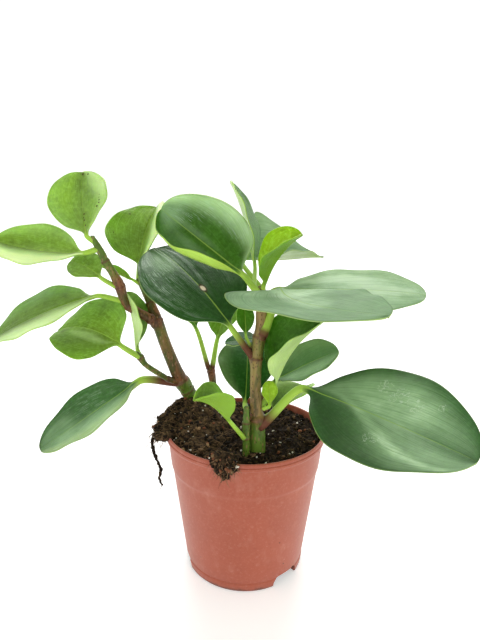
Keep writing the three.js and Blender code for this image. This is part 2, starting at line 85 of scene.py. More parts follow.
# Leaf: root on the stem, base of the blade, (heading, pitch, roll), (length, width, droop),
# fold of the left and right half, curl of both, widest place, (sweep, twist), stalk radius,
# tone, share of the stalk that is brown, height of the ripples
Leaf = namedtuple("Leaf", "root base turns sizes folds curls widest sweeps stalk tone brown ripple")
LEAVES = {
    "leaf_left_1": Leaf((-107, -3, 246), (-112, -6, 251), (119, 62, 37), (51, 47, 9), (15, 19), (12, 12),
        1.0, (6, -16), 1.5, "lime", 0.0, 0.15),
    "leaf_left_2": Leaf((-105, -2, 242), (-115, -3, 239), (160, -6, 34), (75, 43, -26), (14, 20), (10, 12),
        1.02, (3, 9), 1.9, "lime", 0.0, 0.2),
    "leaf_left_3": Leaf((-92, 4, 212), (-106, 2, 221), (147, 30, 30), (35, 25, 26), (2, 15), (6, 6),
        1.0, (-13, 4), 1.5, "mid", 0.1, 0.1),
    "leaf_left_4": Leaf((-90, 6, 203), (-111, 5, 207), (182, -15, 23), (83, 50, 16), (6, 13), (6, 6),
        1.0, (-6, 2), 1.8, "lime", 0.1, 0.25),
    "leaf_left_5": Leaf((-80, 6, 160), (-92, -4, 172), (171, 36, 22), (62, 59, 68), (-14, 31), (-8, 12),
        0.78, (5, -17), 1.9, "lime", 0.1, 0.2),
    "leaf_left_6": Leaf((-78, 7, 157), (-83, 10, 166), (176, 90, 4), (44, 33, 20), (41, 18), (6, 8),
        1.25, (-3, 6), 1.6, "mid", 0.2, 0.1),
    "leaf_left_7": Leaf((-53, 25, 134), (-85, 17, 137), (200, -32, 15), (88, 53, 0), (9, 11), (7, 7),
        0.9, (1, 5), 3.0, "dark", 0.9, 0.7),
    "leaf_left_8": Leaf((-84, 28, 216), (-83.5, 29, 227), (92, 55, 26), (64, 62, 24), (32, 22), (15, 12),
        0.86, (6, 3), 1.9, "lime", 0.0, 0.25),
    "leaf_left_9": Leaf((-82, 27, 212), (-88, 24, 217), (186, 28, -40), (25, 12, 10), (15, 15), (10, 10),
        1.1, (0, 0), 1.1, "lime", 0.0, 0.05),
    "leaf_centre_1": Leaf((5, -34, 171), (-11, -37, 194), (137, 42, 17), (101, 73, 30), (0, 6), (2, 2),
        0.88, (-1, 0), 1.9, "dark", 0.85, 0.6),
    "leaf_centre_2": Leaf((9, -32, 213), (-4, -37, 229), (138, 27, 26), (82, 62, -10), (-8, 5), (122, 5),
        0.84, (-6, 60), 2.0, "mid", 0.0, 0.3),
    "leaf_centre_3": Leaf((4, -29, 218), (5, -8, 233), (112, 71, -50), (63, 37, 20), (22, 8), (2, 2),
        0.98, (0, 8), 1.4, "mid", 0.0, 0.15),
    "leaf_centre_4": Leaf((5, -32, 175), (-1, -33, 188), (100, 72, 0), (22, 13, 10), (12, 12), (10, 10),
        1.1, (0, 0), 0.9, "mid", 0.6, 0.05),
    "leaf_centre_5": Leaf((6, -30, 168), (9, -24, 182), (168, -3, 15), (25, 21, 10), (8, 8), (5, 5),
        1.1, (0, 0), 1.2, "dark", 0.3, 0.1),
    "leaf_centre_6": Leaf((0, -38, 137), (-1, -31.5, 139), (83, 48, -6), (58, 44, 28), (11, 12), (8, 8),
        1.17, (-6, 5), 1.6, "dark", 0.2, 0.2),
    "leaf_centre_7": Leaf((-1, -40, 117), (-11, -54, 136), (207, 55, -9), (37, 29, 37), (46, 46), (20, 27),
        1.05, (-22, 8), 1.4, "lime", 0.0, 0.1),
    "leaf_right_1": Leaf((10, -36, 188), (21, -29, 218), (-88, -2, -2), (108, 85, -4), (1, 6), (2, 2),
        0.72, (-44, -6), 2.6, "dark", 0.15, 0.12),
    "leaf_right_2": Leaf((8, -30, 207), (22, -8, 215), (-3, 3, -6), (99, 67, 5), (6, 0), (1, 1),
        0.95, (18, -12), 2.2, "dark", 0.2, 0.15),
    "leaf_right_3": Leaf((9, -37, 124), (38, -45, 155), (-46, -2, -26), (112, 74, -1), (9, 5), (4, 4),
        1.06, (7, 2), 2.7, "dark", 0.4, 0.1),
    "leaf_right_4": Leaf((9, -30, 216), (10, -32, 221), (-24, 73, -17), (43, 33, 38), (37, 40), (15, 5),
        1.1, (16, -22), 1.7, "lime", 0.0, 0.1),
    "leaf_right_5": Leaf((12, -27, 214), (-1, 14, 235), (10, 0, -60), (62, 74, 7), (8, 55), (5, 10),
        0.42, (-4, 31), 1.6, "dark", 0.0, 0.2),
    "leaf_right_6": Leaf((8, -34, 133), (19, -31, 154), (-15, 74, -16), (56, 48, 33), (40, 42), (19, 8),
        1.1, (18, -19), 1.8, "mid", 0.2, 0.15),
    "leaf_right_7": Leaf((8, -31, 141), (21, -10, 148), (-21, 36, -25), (52, 39, 12), (13, 11), (4, 4),
        1.16, (-1, -10), 1.6, "dark", 0.3, 0.2),
    "leaf_right_8": Leaf((10, -32, 127), (19, -26, 131), (50, 28, -3), (45, 38, 40), (15, 19), (8, 9),
        1.0, (-3, 6), 1.6, "lime", 0.3, 0.1),
    "leaf_right_9": Leaf((11, -37, 137), (15.5, -39, 140.5), (106, 83, 0), (17, 12, 8), (14, 15), (8, 8),
        1.45, (0, 0), 1.2, "lime", 0.1, 0.05),
    "leaf_back_1": Leaf((-31, 43, 140), (-40, 36, 175), (150, 60, 0), (44, 30, 20), (12, 12), (8, 8),
        1.1, (0, 0), 1.7, "mid", 0.3, 0.1),
    "leaf_back_2": Leaf((-28, 43, 140), (-24, 47, 164), (60, 62, 0), (48, 34, 20), (12, 12), (8, 8),
        1.1, (0, 0), 1.8, "mid", 0.2, 0.1),
}

# Leaves with a full base, and leaves with a pointed tip
FULL_LEAVES = {"leaf_centre_2", "leaf_right_2", "leaf_right_5"}
POINTED_LEAVES = {"leaf_right_5"}

# Shade of single leaves (under 0 darker, partly own tone and partly painted shade; over 0 younger),
# painted light on the left and right margin, and a painted whitish sheen
LEAF_TINTS = {
    "leaf_left_1": (0.1, 0.1, 0.3, 0.1), "leaf_left_2": (0.15, 0.4, 0.2, 0.0),
    "leaf_left_3": (1.0, 0.0, 0.1, 0.0), "leaf_left_4": (-0.25, 0.15, 0.0, 0.0),
    "leaf_left_5": (0.15, 0.0, 0.1, 0.0), "leaf_left_6": (0.6, 0.1, 0.1, 0.0),
    "leaf_left_7": (0.0, 0.3, 0.0, 0.15), "leaf_left_8": (0.05, 0.0, 0.5, 0.0),
    "leaf_centre_1": (-0.5, 0.0, 0.0, 0.04), "leaf_centre_2": (-0.2, 0.0, 0.2, 0.0),
    "leaf_centre_3": (-0.1, 0.0, 0.0, 0.2), "leaf_centre_6": (-0.3, 0.1, 0.0, 0.0),
    "leaf_centre_7": (-0.05, 0.0, 0.0, 0.0), "leaf_right_1": (-0.05, 0.0, 0.0, 0.5),
    "leaf_right_2": (0.05, 0.1, 0.0, 0.8), "leaf_right_3": (-0.15, 0.0, 0.0, 0.07),
    "leaf_right_4": (1.0, 0.0, 0.0, 0.0), "leaf_right_5": (0.05, 0.1, 0.0, 0.65),
    "leaf_right_6": (-0.1, 0.0, 0.0, 0.0), "leaf_right_7": (0.0, 0.1, 0.0, 0.3),
    "leaf_right_8": (-0.6, 0.3, 0.3, 0.0), "leaf_right_9": (0.7, 0.0, 0.0, 0.0),
    "leaf_back_2": (0.6, 0.0, 0.0, 0.0),
}

# Patches on single leaves: kind, share along the blade, share of the half width (under 0 left),
# reach along and across, level, and a slant where there is one. Kinds: painted light on a lit margin;
# shade, a younger green over 0 and a darker green under 0 that is partly own tone and partly painted
# shade; a painted whitish sheen; glint, painted streaky glints; matt, duller; fresh, a greener
# underside; WHOLE reaches over a whole leaf
WHOLE = (0.5, 0.0, 1.5, 3.0)
LEAF_PATCHES = {
    "leaf_left_1": [("painted_margin_light", 0.8, 0.7, 0.3, 0.4, 0.35), ("shade", 0.5, 0.2, 0.2, 0.4, -0.1),
        ("shade", 0.7, -0.7, 0.35, 0.5, 0.4)],
    "leaf_left_2": [("painted_margin_light", 0.45, -1.0, 0.6, 0.85, 1.1), ("shade", 0.5, 0.1, 0.3, 0.4, -0.15)],
    "leaf_left_3": [("matt", *WHOLE, 0.8)],
    "leaf_left_4": [("painted_margin_light", 0.45, -0.95, 0.55, 0.75, 0.55), ("shade", 0.5, 0.3, 0.4, 0.6, -0.15),
        ("painted_sheen", 0.5, 0.9, 0.5, 0.4, 0.3)],
    "leaf_left_5": [("painted_margin_light", 0.4, -0.25, 0.3, 0.12, 0.25), ("shade", 0.5, 0.9, 0.5, 0.25, -0.3),
        ("shade", 0.4, -0.55, 0.5, 0.5, -0.35), ("matt", *WHOLE, 0.7),
        ("shade", 0.6, 0.5, 0.5, 0.5, -0.12)],
    "leaf_left_7": [("painted_sheen", 0.55, -0.6, 0.45, 0.6, 0.5), ("glint", 0.4, 0.4, 0.3, 0.5, 0.5),
        ("painted_sheen", 0.84, 0.2, 0.2, 0.6, 0.4)],
    "leaf_left_8": [("painted_margin_light", 0.45, 0.75, 0.6, 0.45, 0.9), ("shade", 0.45, -0.3, 0.2, 0.3, -0.2)],
    "leaf_centre_1": [("painted_sheen", 0.9, -0.6, 0.2, 0.5, 0.15), ("glint", 0.72, -0.5, 0.25, 0.5, 0.75),
        ("glint", 0.6, 0.5, 0.25, 0.45, 0.4), ("glint", 0.35, -0.7, 0.2, 0.3, 0.45),
        ("painted_sheen", 0.76, -0.25, 0.15, 0.3, 0.4), ("shade", 0.3, 0.2, 0.3, 0.7, -0.4)],
    "leaf_centre_2": [("painted_sheen", 0.55, 1.0, 0.55, 0.4, 0.85), ("glint", 0.8, 0.3, 0.2, 0.35, 0.7),
        ("glint", 0.4, 0.8, 0.4, 0.3, 0.5), ("painted_sheen", 0.95, 0.3, 0.2, 0.8, 0.5),
        ("painted_sheen", 0.6, 0.08, 0.3, 0.08, 0.2), ("painted_sheen", 0.45, -0.25, 0.3, 0.12, 0.2),
        ("shade", 0.45, 0.45, 0.4, 0.25, -0.2), ("fresh", *WHOLE, 1.0),
        ("painted_sheen", 0.65, -0.5, 0.35, 0.3, 0.12)],
    "leaf_centre_3": [("fresh", *WHOLE, 0.5)],
    "leaf_right_1": [("shade", 0.35, 0.85, 0.4, 0.3, -0.3), ("painted_sheen", 0.4, -0.05, 0.25, 0.3, 0.4, 0.2),
        ("painted_sheen", 0.12, -0.1, 0.18, 0.9, 0.45),
        ("shade", 0.45, -0.6, 0.35, 0.07, -0.35, 0.3), ("matt", *WHOLE, 0.6)],
    "leaf_right_2": [("painted_sheen", 0.45, -0.5, 0.3, 0.2, 0.45, 0.1), ("shade", 0.5, -0.3, 0.4, 0.07, -0.3, 0.1),
        ("painted_sheen", 0.7, -0.03, 0.25, 0.3, 0.4),
        ("shade", 0.5, -0.75, 0.4, 0.06, -0.25, 0.1), ("matt", *WHOLE, 0.5)],
    # Right 3: painted sheen over most of the blade, painted shade low near the stalk where nothing bright is
    # reflected
    "leaf_right_3": [("shade", -0.07, 0.75, 0.25, 0.8, -0.7, 0.66),
        ("painted_sheen", 0.34, 0.5, 0.07, 0.7, 0.4, 0.66), ("painted_sheen", 0.6, 0.6, 0.26, 0.6, 0.4, 0.4),
        ("painted_sheen", 0.5, -0.4, 0.4, 0.45, 0.62),
        ("matt", -0.07, 0.75, 0.3, 0.9, 0.9, 0.66), ("matt", 0.12, -0.6, 0.22, 0.7, 0.9),
        ("shade", 0.12, -0.6, 0.22, 0.6, -0.7), ("shade", 0.6, -1.0, 0.6, 0.25, -0.15),
        ("shade", 0.9, 0.1, 0.2, 0.4, -0.2), ("painted_sheen", 0.72, 0.1, 0.38, 1.1, 0.16)],
    "leaf_right_7": [("painted_sheen", 0.6, 0.6, 0.4, 0.4, 0.3)],
    "leaf_right_8": [("matt", *WHOLE, 1.0)],
}

# Marks on single leaves: share along the blade, distance aside, radius, kind
LEAF_MARKS = {
    "leaf_left_1": [(0.96, 1, 1.1, "dot"), (0.93, 5.5, 0.8, "dot"), (0.5, 15.8, 0.7, "dot"),
        (0.46, 15.4, 0.6, "dot"), (0.42, 15.4, 0.7, "dot"), (0.38, 15.2, 0.8, "dot"),
        (0.34, 13.2, 1.0, "dot"), (0.31, 1.1, 0.9, "dot"), (0.26, 0.4, 0.8, "dot"),
        (0.22, 0.5, 1.0, "dot"), (0.14, 1.2, 0.8, "dot")],
    "leaf_left_8": [(0.73, -17, 0.9, "dot"), (0.4, -24, 0.7, "dot")],
    "leaf_centre_1": [(0.36, 1, 2.9, "tear")],
    "leaf_right_3": [(0.42, -21, 6.0, "stain"), (0.52, -18, 8.0, "stain"), (0.62, -16, 6.0, "stain"),
        (0.73, -21, 3.5, "stain"), (0.55, 17, 6.0, "stain")],
    "leaf_right_8": [(0.5, 4, 0.6, "dot"), (0.62, -5, 0.5, "dot"), (0.42, -8, 0.5, "dot")],
}

# Stems: points along the axis with the radius and the share of brown bark at each one
STEMS = {
    "stem_left": [
        [(-28, 27, 78, 5.6, 0.0), (-35, 31, 100, 6.0, 0.0), (-42, 32, 114, 6.0, 0.0),
         (-47, 29, 125, 5.9, 0.0), (-51, 27, 133, 6.6, 0.25), (-53, 26, 137, 5.6, 0.8),
         (-57, 23, 148, 5.0, 0.75), (-63, 20, 166, 4.6, 0.6), (-67, 18, 180, 4.6, 0.5),
         (-69, 17, 185, 5.4, 1.0), (-71, 19, 191, 4.4, 0.9), (-75, 22, 201, 3.4, 0.5),
         (-80, 26, 211, 3.2, 0.3), (-84, 28, 217, 2.6, 0.1)],
        [(-68, 17, 183, 4.0, 1.0), (-73, 14, 188, 3.9, 0.9), (-80, 11, 193, 3.4, 0.8),
         (-88, 8, 199, 3.5, 0.9), (-91, 5, 206, 3.3, 0.7), (-93, 4, 215, 3.9, 0.95),
         (-97, 1, 225, 3.0, 0.35), (-101, 0, 232, 3.1, 0.25), (-105, -2, 242, 2.5, 0.1),
         (-109, -4, 250, 1.9, 0.0)],
        [(-52, 26, 134, 3.2, 0.9), (-60, 19, 138, 2.3, 0.7), (-70, 12, 147, 2.1, 0.3),
         (-77, 8, 154, 2.1, 0.3), (-80, 6, 160, 2.7, 0.3), (-83, 4, 164, 1.9, 0.0)],
    ],
    "stem_right": [
        [(9, -33, 68, 5.0, 0.0), (8, -35, 96, 5.4, 0.0), (8, -35, 110, 5.4, 0.0),
         (8, -35, 124, 5.2, 0.1), (8, -35, 129, 5.9, 0.7), (7, -34, 134, 4.4, 0.85),
         (6, -34, 150, 3.8, 0.75), (6, -33, 166, 4.0, 0.45), (6, -33, 172, 4.8, 0.9),
         (7, -33, 177, 3.9, 0.2), (8, -33, 186, 4.6, 0.6), (9, -33, 193, 3.8, 0.85),
         (9, -32, 203, 3.6, 0.8), (9, -31, 213, 3.2, 0.3), (9, -30, 220, 2.6, 0.0)],
    ],
    "stem_thin": [
        [(0, -39, 74, 2.6, 0.0), (0, -39.5, 100, 2.6, 0.0), (0, -39.5, 118, 2.4, 0.0),
         (0, -39, 128, 2.7, 0.0), (0, -38.5, 134, 2.0, 0.0), (0, -38, 139, 1.9, 0.0)],
    ],
    "stem_back": [
        [(-22, 38, 78, 3.0, 0.1), (-26, 41, 104, 3.0, 0.2), (-27, 42, 124, 2.9, 0.5),
         (-29, 43, 138, 3.4, 0.9), (-30, 43, 141, 2.2, 0.6)],
    ],
}

# Heights of the swollen nodes on each shoot
NODE_HEIGHTS = {
    "stem_left": [[126, 135, 186, 199], [188, 199, 214, 233], [139, 160]],
    "stem_right": [[129, 172, 187, 207]],
    "stem_thin": [[117, 128]],
    "stem_back": [[104, 138]],
}

# Height from which the bark of a stem turns tan
TAN_FROM = {"stem_right": 124}

# Scars where leaves fell: stem, centre, direction it faces, radius
SCARS = [
    ("stem_right", (10.2, -36.5, 187.6), (0.5, -1, 0.1), 2.9),
    ("stem_left", (-51.5, 21.6, 136.4), (0.3, -1, 0.1), 2.2),
    ("stem_left", (-90.5, 2.0, 215.8), (0.4, -1, 0.2), 2.0),
    ("stem_left", (-67.5, 12.6, 185), (0.4, -1, -0.1), 1.8),
]

# Loose soil over the rim: turn from +X in degrees, radius, height, size inwards, across and up;
# the last two are the front spill
RIM_LUMPS = [
    (128, 54, 112, 8, 10, 6), (141, 56, 113, 8, 10, 7), (154, 57, 113, 8, 10, 7),
    (166, 58, 112, 8, 9, 6), (177, 60, 111, 8, 9, 5), (187, 62, 109, 8, 9, 5),
    (196, 62, 108, 8, 7, 4), (254, 54, 107, 8, 10, 6), (257, 60.5, 105, 3, 8.5, 6.5),
]

# Root that hangs over the rim: points along it with the radius at each one
ROOT_STRAND = [
    (-66, -16, 108, 1.6), (-68, -20, 104, 1.3), (-67, -21, 97, 1.2), (-64, -22, 89, 1.1),
    (-62, -22, 83, 1.2), (-63, -23, 76, 0.9), (-61, -23, 71, 0.6),
]

# Pot wall in section, from the middle of the base round to the middle of the floor
POT_SECTION = [
    (0, 0.8), (20, 0.8), (38, 0.8), (41, 0.5), (41.8, 0.1), (42.4, 0), (44.3, 0), (44.9, 0.2),
    (45.4, 0.8), (45.7, 1.6), (46.2, 5.6), (46.2, 6.2), (46.0, 6.7), (45.8, 7.0), (46.0, 7.5),
    (47.2, 16), (49.0, 30), (51.4, 48), (53.6, 65), (55.3, 78.0), (55.5, 79.2), (55.8, 80.2),
    (56.2, 81.1), (56.45, 82.0), (56.6, 83.0), (57.4, 90), (58.2, 99.4), (58.35, 100.4),
    (58.5, 101.9), (58.9, 102.3), (59.7, 102.6), (59.95, 103.0), (60.0, 103.5), (59.95, 104.6), (59.5, 105.0),
    (59.5, 105.4), (59.95, 105.8), (60.0, 106.6), (59.85, 107.4), (59.5, 107.85), (59.1, 108), (58.7, 107.9),
    (58.35, 107.5), (58.2, 106.8), (57.7, 101), (55.5, 82.4), (55.0, 80.8), (54.4, 79.4), (49.6, 44),
    (44.9, 6), (44.3, 2.6), (43.6, 1.9), (42.4, 1.6), (20, 1.6), (0, 1.6),
]

# Turn of the notches in degrees, and radius of their corners
NOTCH_ANGLES = (-47, 73, 193)
NOTCH_CORNER = 5.5

# Level and radius of the soil's top, and radius and height of the soil's wall down to the pot's floor
SOIL_LEVEL = 105
SOIL_RADIUS = 56.8
SOIL_WALL = ((56.0, 97), (53.5, 80), (44.4, 12), (34, 9), (30, 2.4))


def colour_field(name, description, *default):
    """A colour that can be changed in the sidebar."""
    return bpy.props.FloatVectorProperty(name=name, description=description, default=default, subtype="COLOR")


def length_field(name, description, default):
    """A length, given in millimetres, that can be changed in the sidebar."""
    return bpy.props.FloatProperty(name=name, description=description, default=default * MM, unit="LENGTH")


def angle_field(name, description, default):
    """An angle, given in degrees, that can be changed in the sidebar."""
    return bpy.props.FloatProperty(name=name, description=description, default=math.radians(default),
                                   unit="ROTATION")


def strength_field(name, description, default):
    """A strength or share that can be changed in the sidebar."""
    return bpy.props.FloatProperty(name=name, description=description, default=default, min=0)


def count_field(name, description, default, least=0):
    """A count that can be changed in the sidebar."""
    return bpy.props.IntProperty(name=name, description=description, default=default, min=least)


class PlantLeafSettings(bpy.types.PropertyGroup):
    """Sizes and colours of the leaves"""
    blade_steps: count_field("Blade steps", "Rings along a blade", 60, 12)
    blade_columns: count_field("Blade columns", "Columns across a blade", 40, 8)
    edge: length_field("Edge", "Thickness near the margin", 0.8)
    middle: length_field("Middle", "Thickness along the midrib", 1.5)
    dark: colour_field("Old leaf", "Upper side of an old leaf", 0.016, 0.086, 0.007)
    mid: colour_field("Grown leaf", "Upper side of a grown leaf", 0.05, 0.165, 0.005)
    lime: colour_field("Young leaf", "Upper side of a young leaf", 0.175, 0.31, 0.03)
    yellow: colour_field("Newest leaf", "Upper side of the newest leaf", 0.27, 0.44, 0.002)
    pale: colour_field("Underside", "Lower side of a grown leaf", 0.56, 0.76, 0.28)
    stalk: colour_field("Leaf stalk", "Leaf stalks and midribs", 0.32, 0.5, 0.07)
    brown: colour_field("Brown stalk", "Foot of a leaf stalk", 0.13, 0.05, 0.03)


class PlantStemSettings(bpy.types.PropertyGroup):
    """Colours of the stems"""
    green: colour_field("Green", "Green part of the stems", 0.08, 0.145, 0.015)
    bark: colour_field("Bark", "Brown part of the stems", 0.135, 0.055, 0.022)
    scar: colour_field("Scar", "Rings and scars where leaves sat", 0.26, 0.14, 0.07)


class PlantSoilSettings(bpy.types.PropertyGroup):
    """Amounts and colours of the soil"""
    crumbs: count_field("Crumbs", "Loose crumbs on the soil", 1500)
    fibres: count_field("Fibres", "Loose fibres on the soil", 1500)
    colour: colour_field("Peat", "Dark peat", 0.01, 0.006, 0.003)
    light: colour_field("Dry peat", "Dry crumbs and fibres", 0.36, 0.22, 0.11)
    chip: colour_field("Bark chips", "Reddish bits of bark", 0.2, 0.075, 0.035)
    perlite: colour_field("Perlite", "White mineral grains", 0.7, 0.66, 0.56)


class PlantPotSettings(bpy.types.PropertyGroup):
    """Sizes and colours of the pot"""
    sides: count_field("Sides", "Steps round the pot", 160, 24)
    notch_width: length_field("Notch width", "Width of a drainage notch", 24)
    notch_height: length_field("Notch height", "Height of a drainage notch", 8)
    colour: colour_field("Plastic", "Terracotta coloured plastic", 0.36, 0.086, 0.046)
    dust: colour_field("Dust", "Dust and wear on the plastic", 0.55, 0.27, 0.2)


class PlantStageSettings(bpy.types.PropertyGroup):
    """Floor, light and camera"""
    floor: colour_field("Floor", "Pale floor", 0.9, 0.9, 0.9)
    sky_low: strength_field("Low sky", "Light from low all round", 1.6)
    sky_high: strength_field("High sky", "Light from overhead", 0.6)
    sky_front: strength_field("Front share", "Share of the light on the camera's side", 0.95)
    lamp: strength_field("Lamp", "Strength of the wide soft lamp behind the plant", 2.0)
    lamp_spread: angle_field("Lamp spread", "Angle of the lamp", 40)
    floor_light: strength_field("Floor light", "Light that the table gives off", 0.4)
    distance: length_field("Distance", "Camera to the middle of the plant", 351)
    elevation: angle_field("Elevation", "Camera over the horizon", 12)


def smooth(low, high, value):
    """Smooth step of an array or a number from 0 at low to 1 at high."""
    share = np.clip((value - low) / (high - low), 0, 1)
    return share * share * (3 - 2 * share)


def unit(vector):
    return vector / np.linalg.norm(vector)


def turned(start, towards, angle):
    """A direction turned towards another one at right angles to it."""
    return start * math.cos(angle) + towards * math.sin(angle)


def as_mesh(name, shape):
    """The finished shape as a smooth mesh."""
    for face in shape.faces:
        face.smooth = True
    mesh = bpy.data.meshes.new(name)
    shape.to_mesh(mesh)
    shape.free()
    return mesh


def add_object(name, content):
    """A new object of the scene, unturned at the origin."""
    made = bpy.data.objects.new(name, content)
    bpy.context.scene.collection.objects.link(made)
    return made


def finish_piece(name, mesh, material, slot, *nodes):
    """Shows a mesh as a piece of the plant that rides on the root body."""
    piece = add_object(name, mesh)
    mesh.materials.append(material)
    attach(piece, "root")
    if nodes:
        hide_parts(*nodes)


def sheet_mesh(name, rings, ends, values):
    """A closed skin: a grid whose rows are rings, joined at the seam and drawn to both end points."""
    around = rings.shape[1]
    first, last = (np.tile(end, (1, around, 1)) for end in ends)
    points = np.concatenate([first, rings, last]) * MM
    steps = len(points) - 1
    skin = bmesh.new()
    bmesh.ops.create_grid(skin, x_segments=around, y_segments=steps, size=1)
    mesh = bpy.data.meshes.new(name)
    skin.to_mesh(mesh)
    flat = np.empty(len(mesh.vertices) * 3)
    mesh.vertices.foreach_get("co", flat)
    column = np.rint((flat[0::3] + 1) / 2 * around).astype(int) % around
    row = np.rint((flat[1::3] + 1) / 2 * steps).astype(int)
    mesh.vertices.foreach_set("co", points[row, column].ravel())
    for key, array in values.items():
        whole = np.concatenate([array[:1], array, array[-1:]])
        layer = mesh.attributes.new(key, "FLOAT", "POINT")
        layer.data.foreach_set("value", whole[row, column].astype(np.float32))
    skin.clear()
    skin.from_mesh(mesh)
    bpy.data.meshes.remove(mesh)
    bmesh.ops.remove_doubles(skin, verts=skin.verts, dist=1e-7)
    bmesh.ops.recalc_face_normals(skin, faces=skin.faces)
    return as_mesh(name, skin)


class Level:
    """A number that changes over a surface; sums and products of it become nodes."""

    def __init__(self, nodes, socket):
        self.nodes = nodes
        self.socket = socket

    def __add__(self, other):
        return self.nodes.math("ADD", self, other)

    def __sub__(self, other):
        return self.nodes.math("SUBTRACT", self, other)

    def __rsub__(self, other):
        return self.nodes.math("SUBTRACT", other, self)

    def __mul__(self, other):
        return self.nodes.math("MULTIPLY", self, other)

    def __truediv__(self, other):
        return self.nodes.math("DIVIDE", self, other)

    def __abs__(self):
        return self.nodes.math("ABSOLUTE", self)

    def graded(self, start, end, low, high):
        """Goes smoothly from low to high while the level goes from start to end."""
        return self.nodes.level("MapRange", "Result", {"Value": self, "From Min": start, "From Max": end,
                                                       "To Min": low, "To Max": high},
                                interpolation_type="SMOOTHSTEP")

    def band(self, low, high):
        """1 where the level is over high, 0 under low, smooth between; low may be over high."""
        if low > high:
            return 1.0 - self.band(high, low)
        return self.graded(low, high, 0, 1)

    def between(self, low, high):
        """The level from 0 to 1 spread out from low to high."""
        return self.nodes.level("MapRange", "Result", {"Value": self, "To Min": low, "To Max": high})


class Nodes:
    """The nodes of a material or of the sky, added one call at a time."""

    def __init__(self, owner, place):
        owner.use_nodes = True
        self.tree = owner.node_tree
        self.place = self.node("TexCoord", {}).outputs[place]

    def give(self, node, values):
        """Links or sets the inputs of a node; a name may have underscores for its spaces."""
        for key, value in values.items():
            socket = node.inputs[key.replace("_", " ") if isinstance(key, str) else key]
            if isinstance(value, Level):
                value = value.socket
            if isinstance(value, bpy.types.NodeSocket):
                self.tree.links.new(value, socket)
            elif socket.type == "RGBA":
                socket.default_value = (*value, 1)
            else:
                socket.default_value = value

    def node(self, kind, values, **settings):
        made = self.tree.nodes.new("ShaderNode" + kind)
        for key, value in settings.items():
            setattr(made, key, value)
        self.give(made, values)
        return made

    def level(self, kind, output, values, **settings):
        return Level(self, self.node(kind, values, **settings).outputs[output])

    def math(self, operation, *values):
        return self.level("Math", 0, dict(enumerate(values)), operation=operation)

    def axis(self, letter):
        """The place along one axis."""
        return self.level("SeparateXYZ", letter, {"Vector": self.place})


class Finish(Nodes):
    """A material that is painted coat by coat."""

    def __init__(self, name, **shader):
        self.material = bpy.data.materials.new(name)
        super().__init__(self.material, "Object")
        self.shader = self.tree.nodes["Principled BSDF"]
        self.give(self.shader, shader)

    def value(self, name):
        """The value of that name that is stored on the mesh."""
        return self.level("Attribute", "Fac", {}, attribute_name=name)

    def mix(self, share, one, other):
        return self.node("Mix", {0: share, 6: one, 7: other}, data_type="RGBA").outputs[2]

    def coats(self, colour, *coats):
        """Lays coats over a colour, each one a share and a colour of its own."""
        for share, coat in coats:
            colour = self.mix(share, colour, coat)
        return colour

    def stretched(self, place, stretch):
        return self.node("Mapping", {"Vector": place, "Scale": stretch}).outputs[0]

    def noise(self, scale, detail, stretch=(1, 1, 1), place=None, rough=0.55):
        vector = self.stretched(place or self.place, stretch)
        return self.level("TexNoise", "Fac", {"Vector": vector, "Scale": scale, "Detail": detail,
                                              "Roughness": rough})

    def specks(self, scale, size, stretch=(1, 1, 1)):
        """Round specks: 1 inside, 0 outside."""
        vector = self.stretched(self.place, stretch)
        distance = self.level("TexVoronoi", "Distance", {"Vector": vector, "Scale": scale})
        return distance.band(size, size * 0.6)

    def done(self, colour, height, strength, distance, **values):
        """Gives the shader its colour and its bumps, and returns the material."""
        bump = self.node("Bump", {"Height": height, "Strength": strength, "Distance": distance})
        self.give(self.shader, {"Base Color": colour, "Normal": bump.outputs["Normal"], **values})
        return self.material


def leaf_outline(name, t, widest):
    """Share of the full half width along the midrib, 0 at the base to 1 at the tip."""
    start = 0.6 if name in FULL_LEAVES else 0.9
    end = 1.1 if name in POINTED_LEAVES else 0.5
    return np.sin(np.pi * t ** widest).clip(0, 1) ** (start + (end - start) * t)


def leaf_frame(turns):
    """Directions ahead, to the right and up at the base of a blade."""
    heading, pitch, roll = (math.radians(angle) for angle in turns)
    ahead = unit(np.array([math.cos(heading), math.sin(heading), math.tan(pitch)]))
    level = np.array([math.sin(heading), -math.cos(heading), 0.0])
    over = np.cross(level, ahead)
    return ahead, turned(level, over, roll), turned(over, level, -roll)


def stalk_rings(root, base, ahead, side, count):
    """Centres with side and up directions along the leaf stalk, and the share of the way at each."""
    root, base = np.array(root, float), np.array(base, float)
    leave = root + (base - root) * 0.4
    arrive = base - ahead * np.linalg.norm(base - root) * 0.22
    rings = []
    for i in range(count - 1, -1, -1):
        t = i / count
        rest = 1 - t
        centre = root * rest ** 3 + leave * 3 * t * rest ** 2 + arrive * 3 * t * t * rest + base * t ** 3
        along = unit((leave - root) * rest ** 2 + (arrive - leave) * 2 * t * rest + (base - arrive) * t * t)
        side = unit(side - along * side.dot(along))
        rings.insert(0, (centre, side, np.cross(side, along), t))
    return rings


def crowded(start, count, pull):
    """Places from start to 1 that stand closer together near the whole numbers."""
    even = np.linspace(start, 1, count + 1)
    return even - pull * np.sin(2 * np.pi * even) / (2 * np.pi)


def unevenness(places, scale, along, seed):
    """Noise at the places of one row of a leaf."""
    return np.array([noise.noise((place * scale, along, seed)) for place in places])


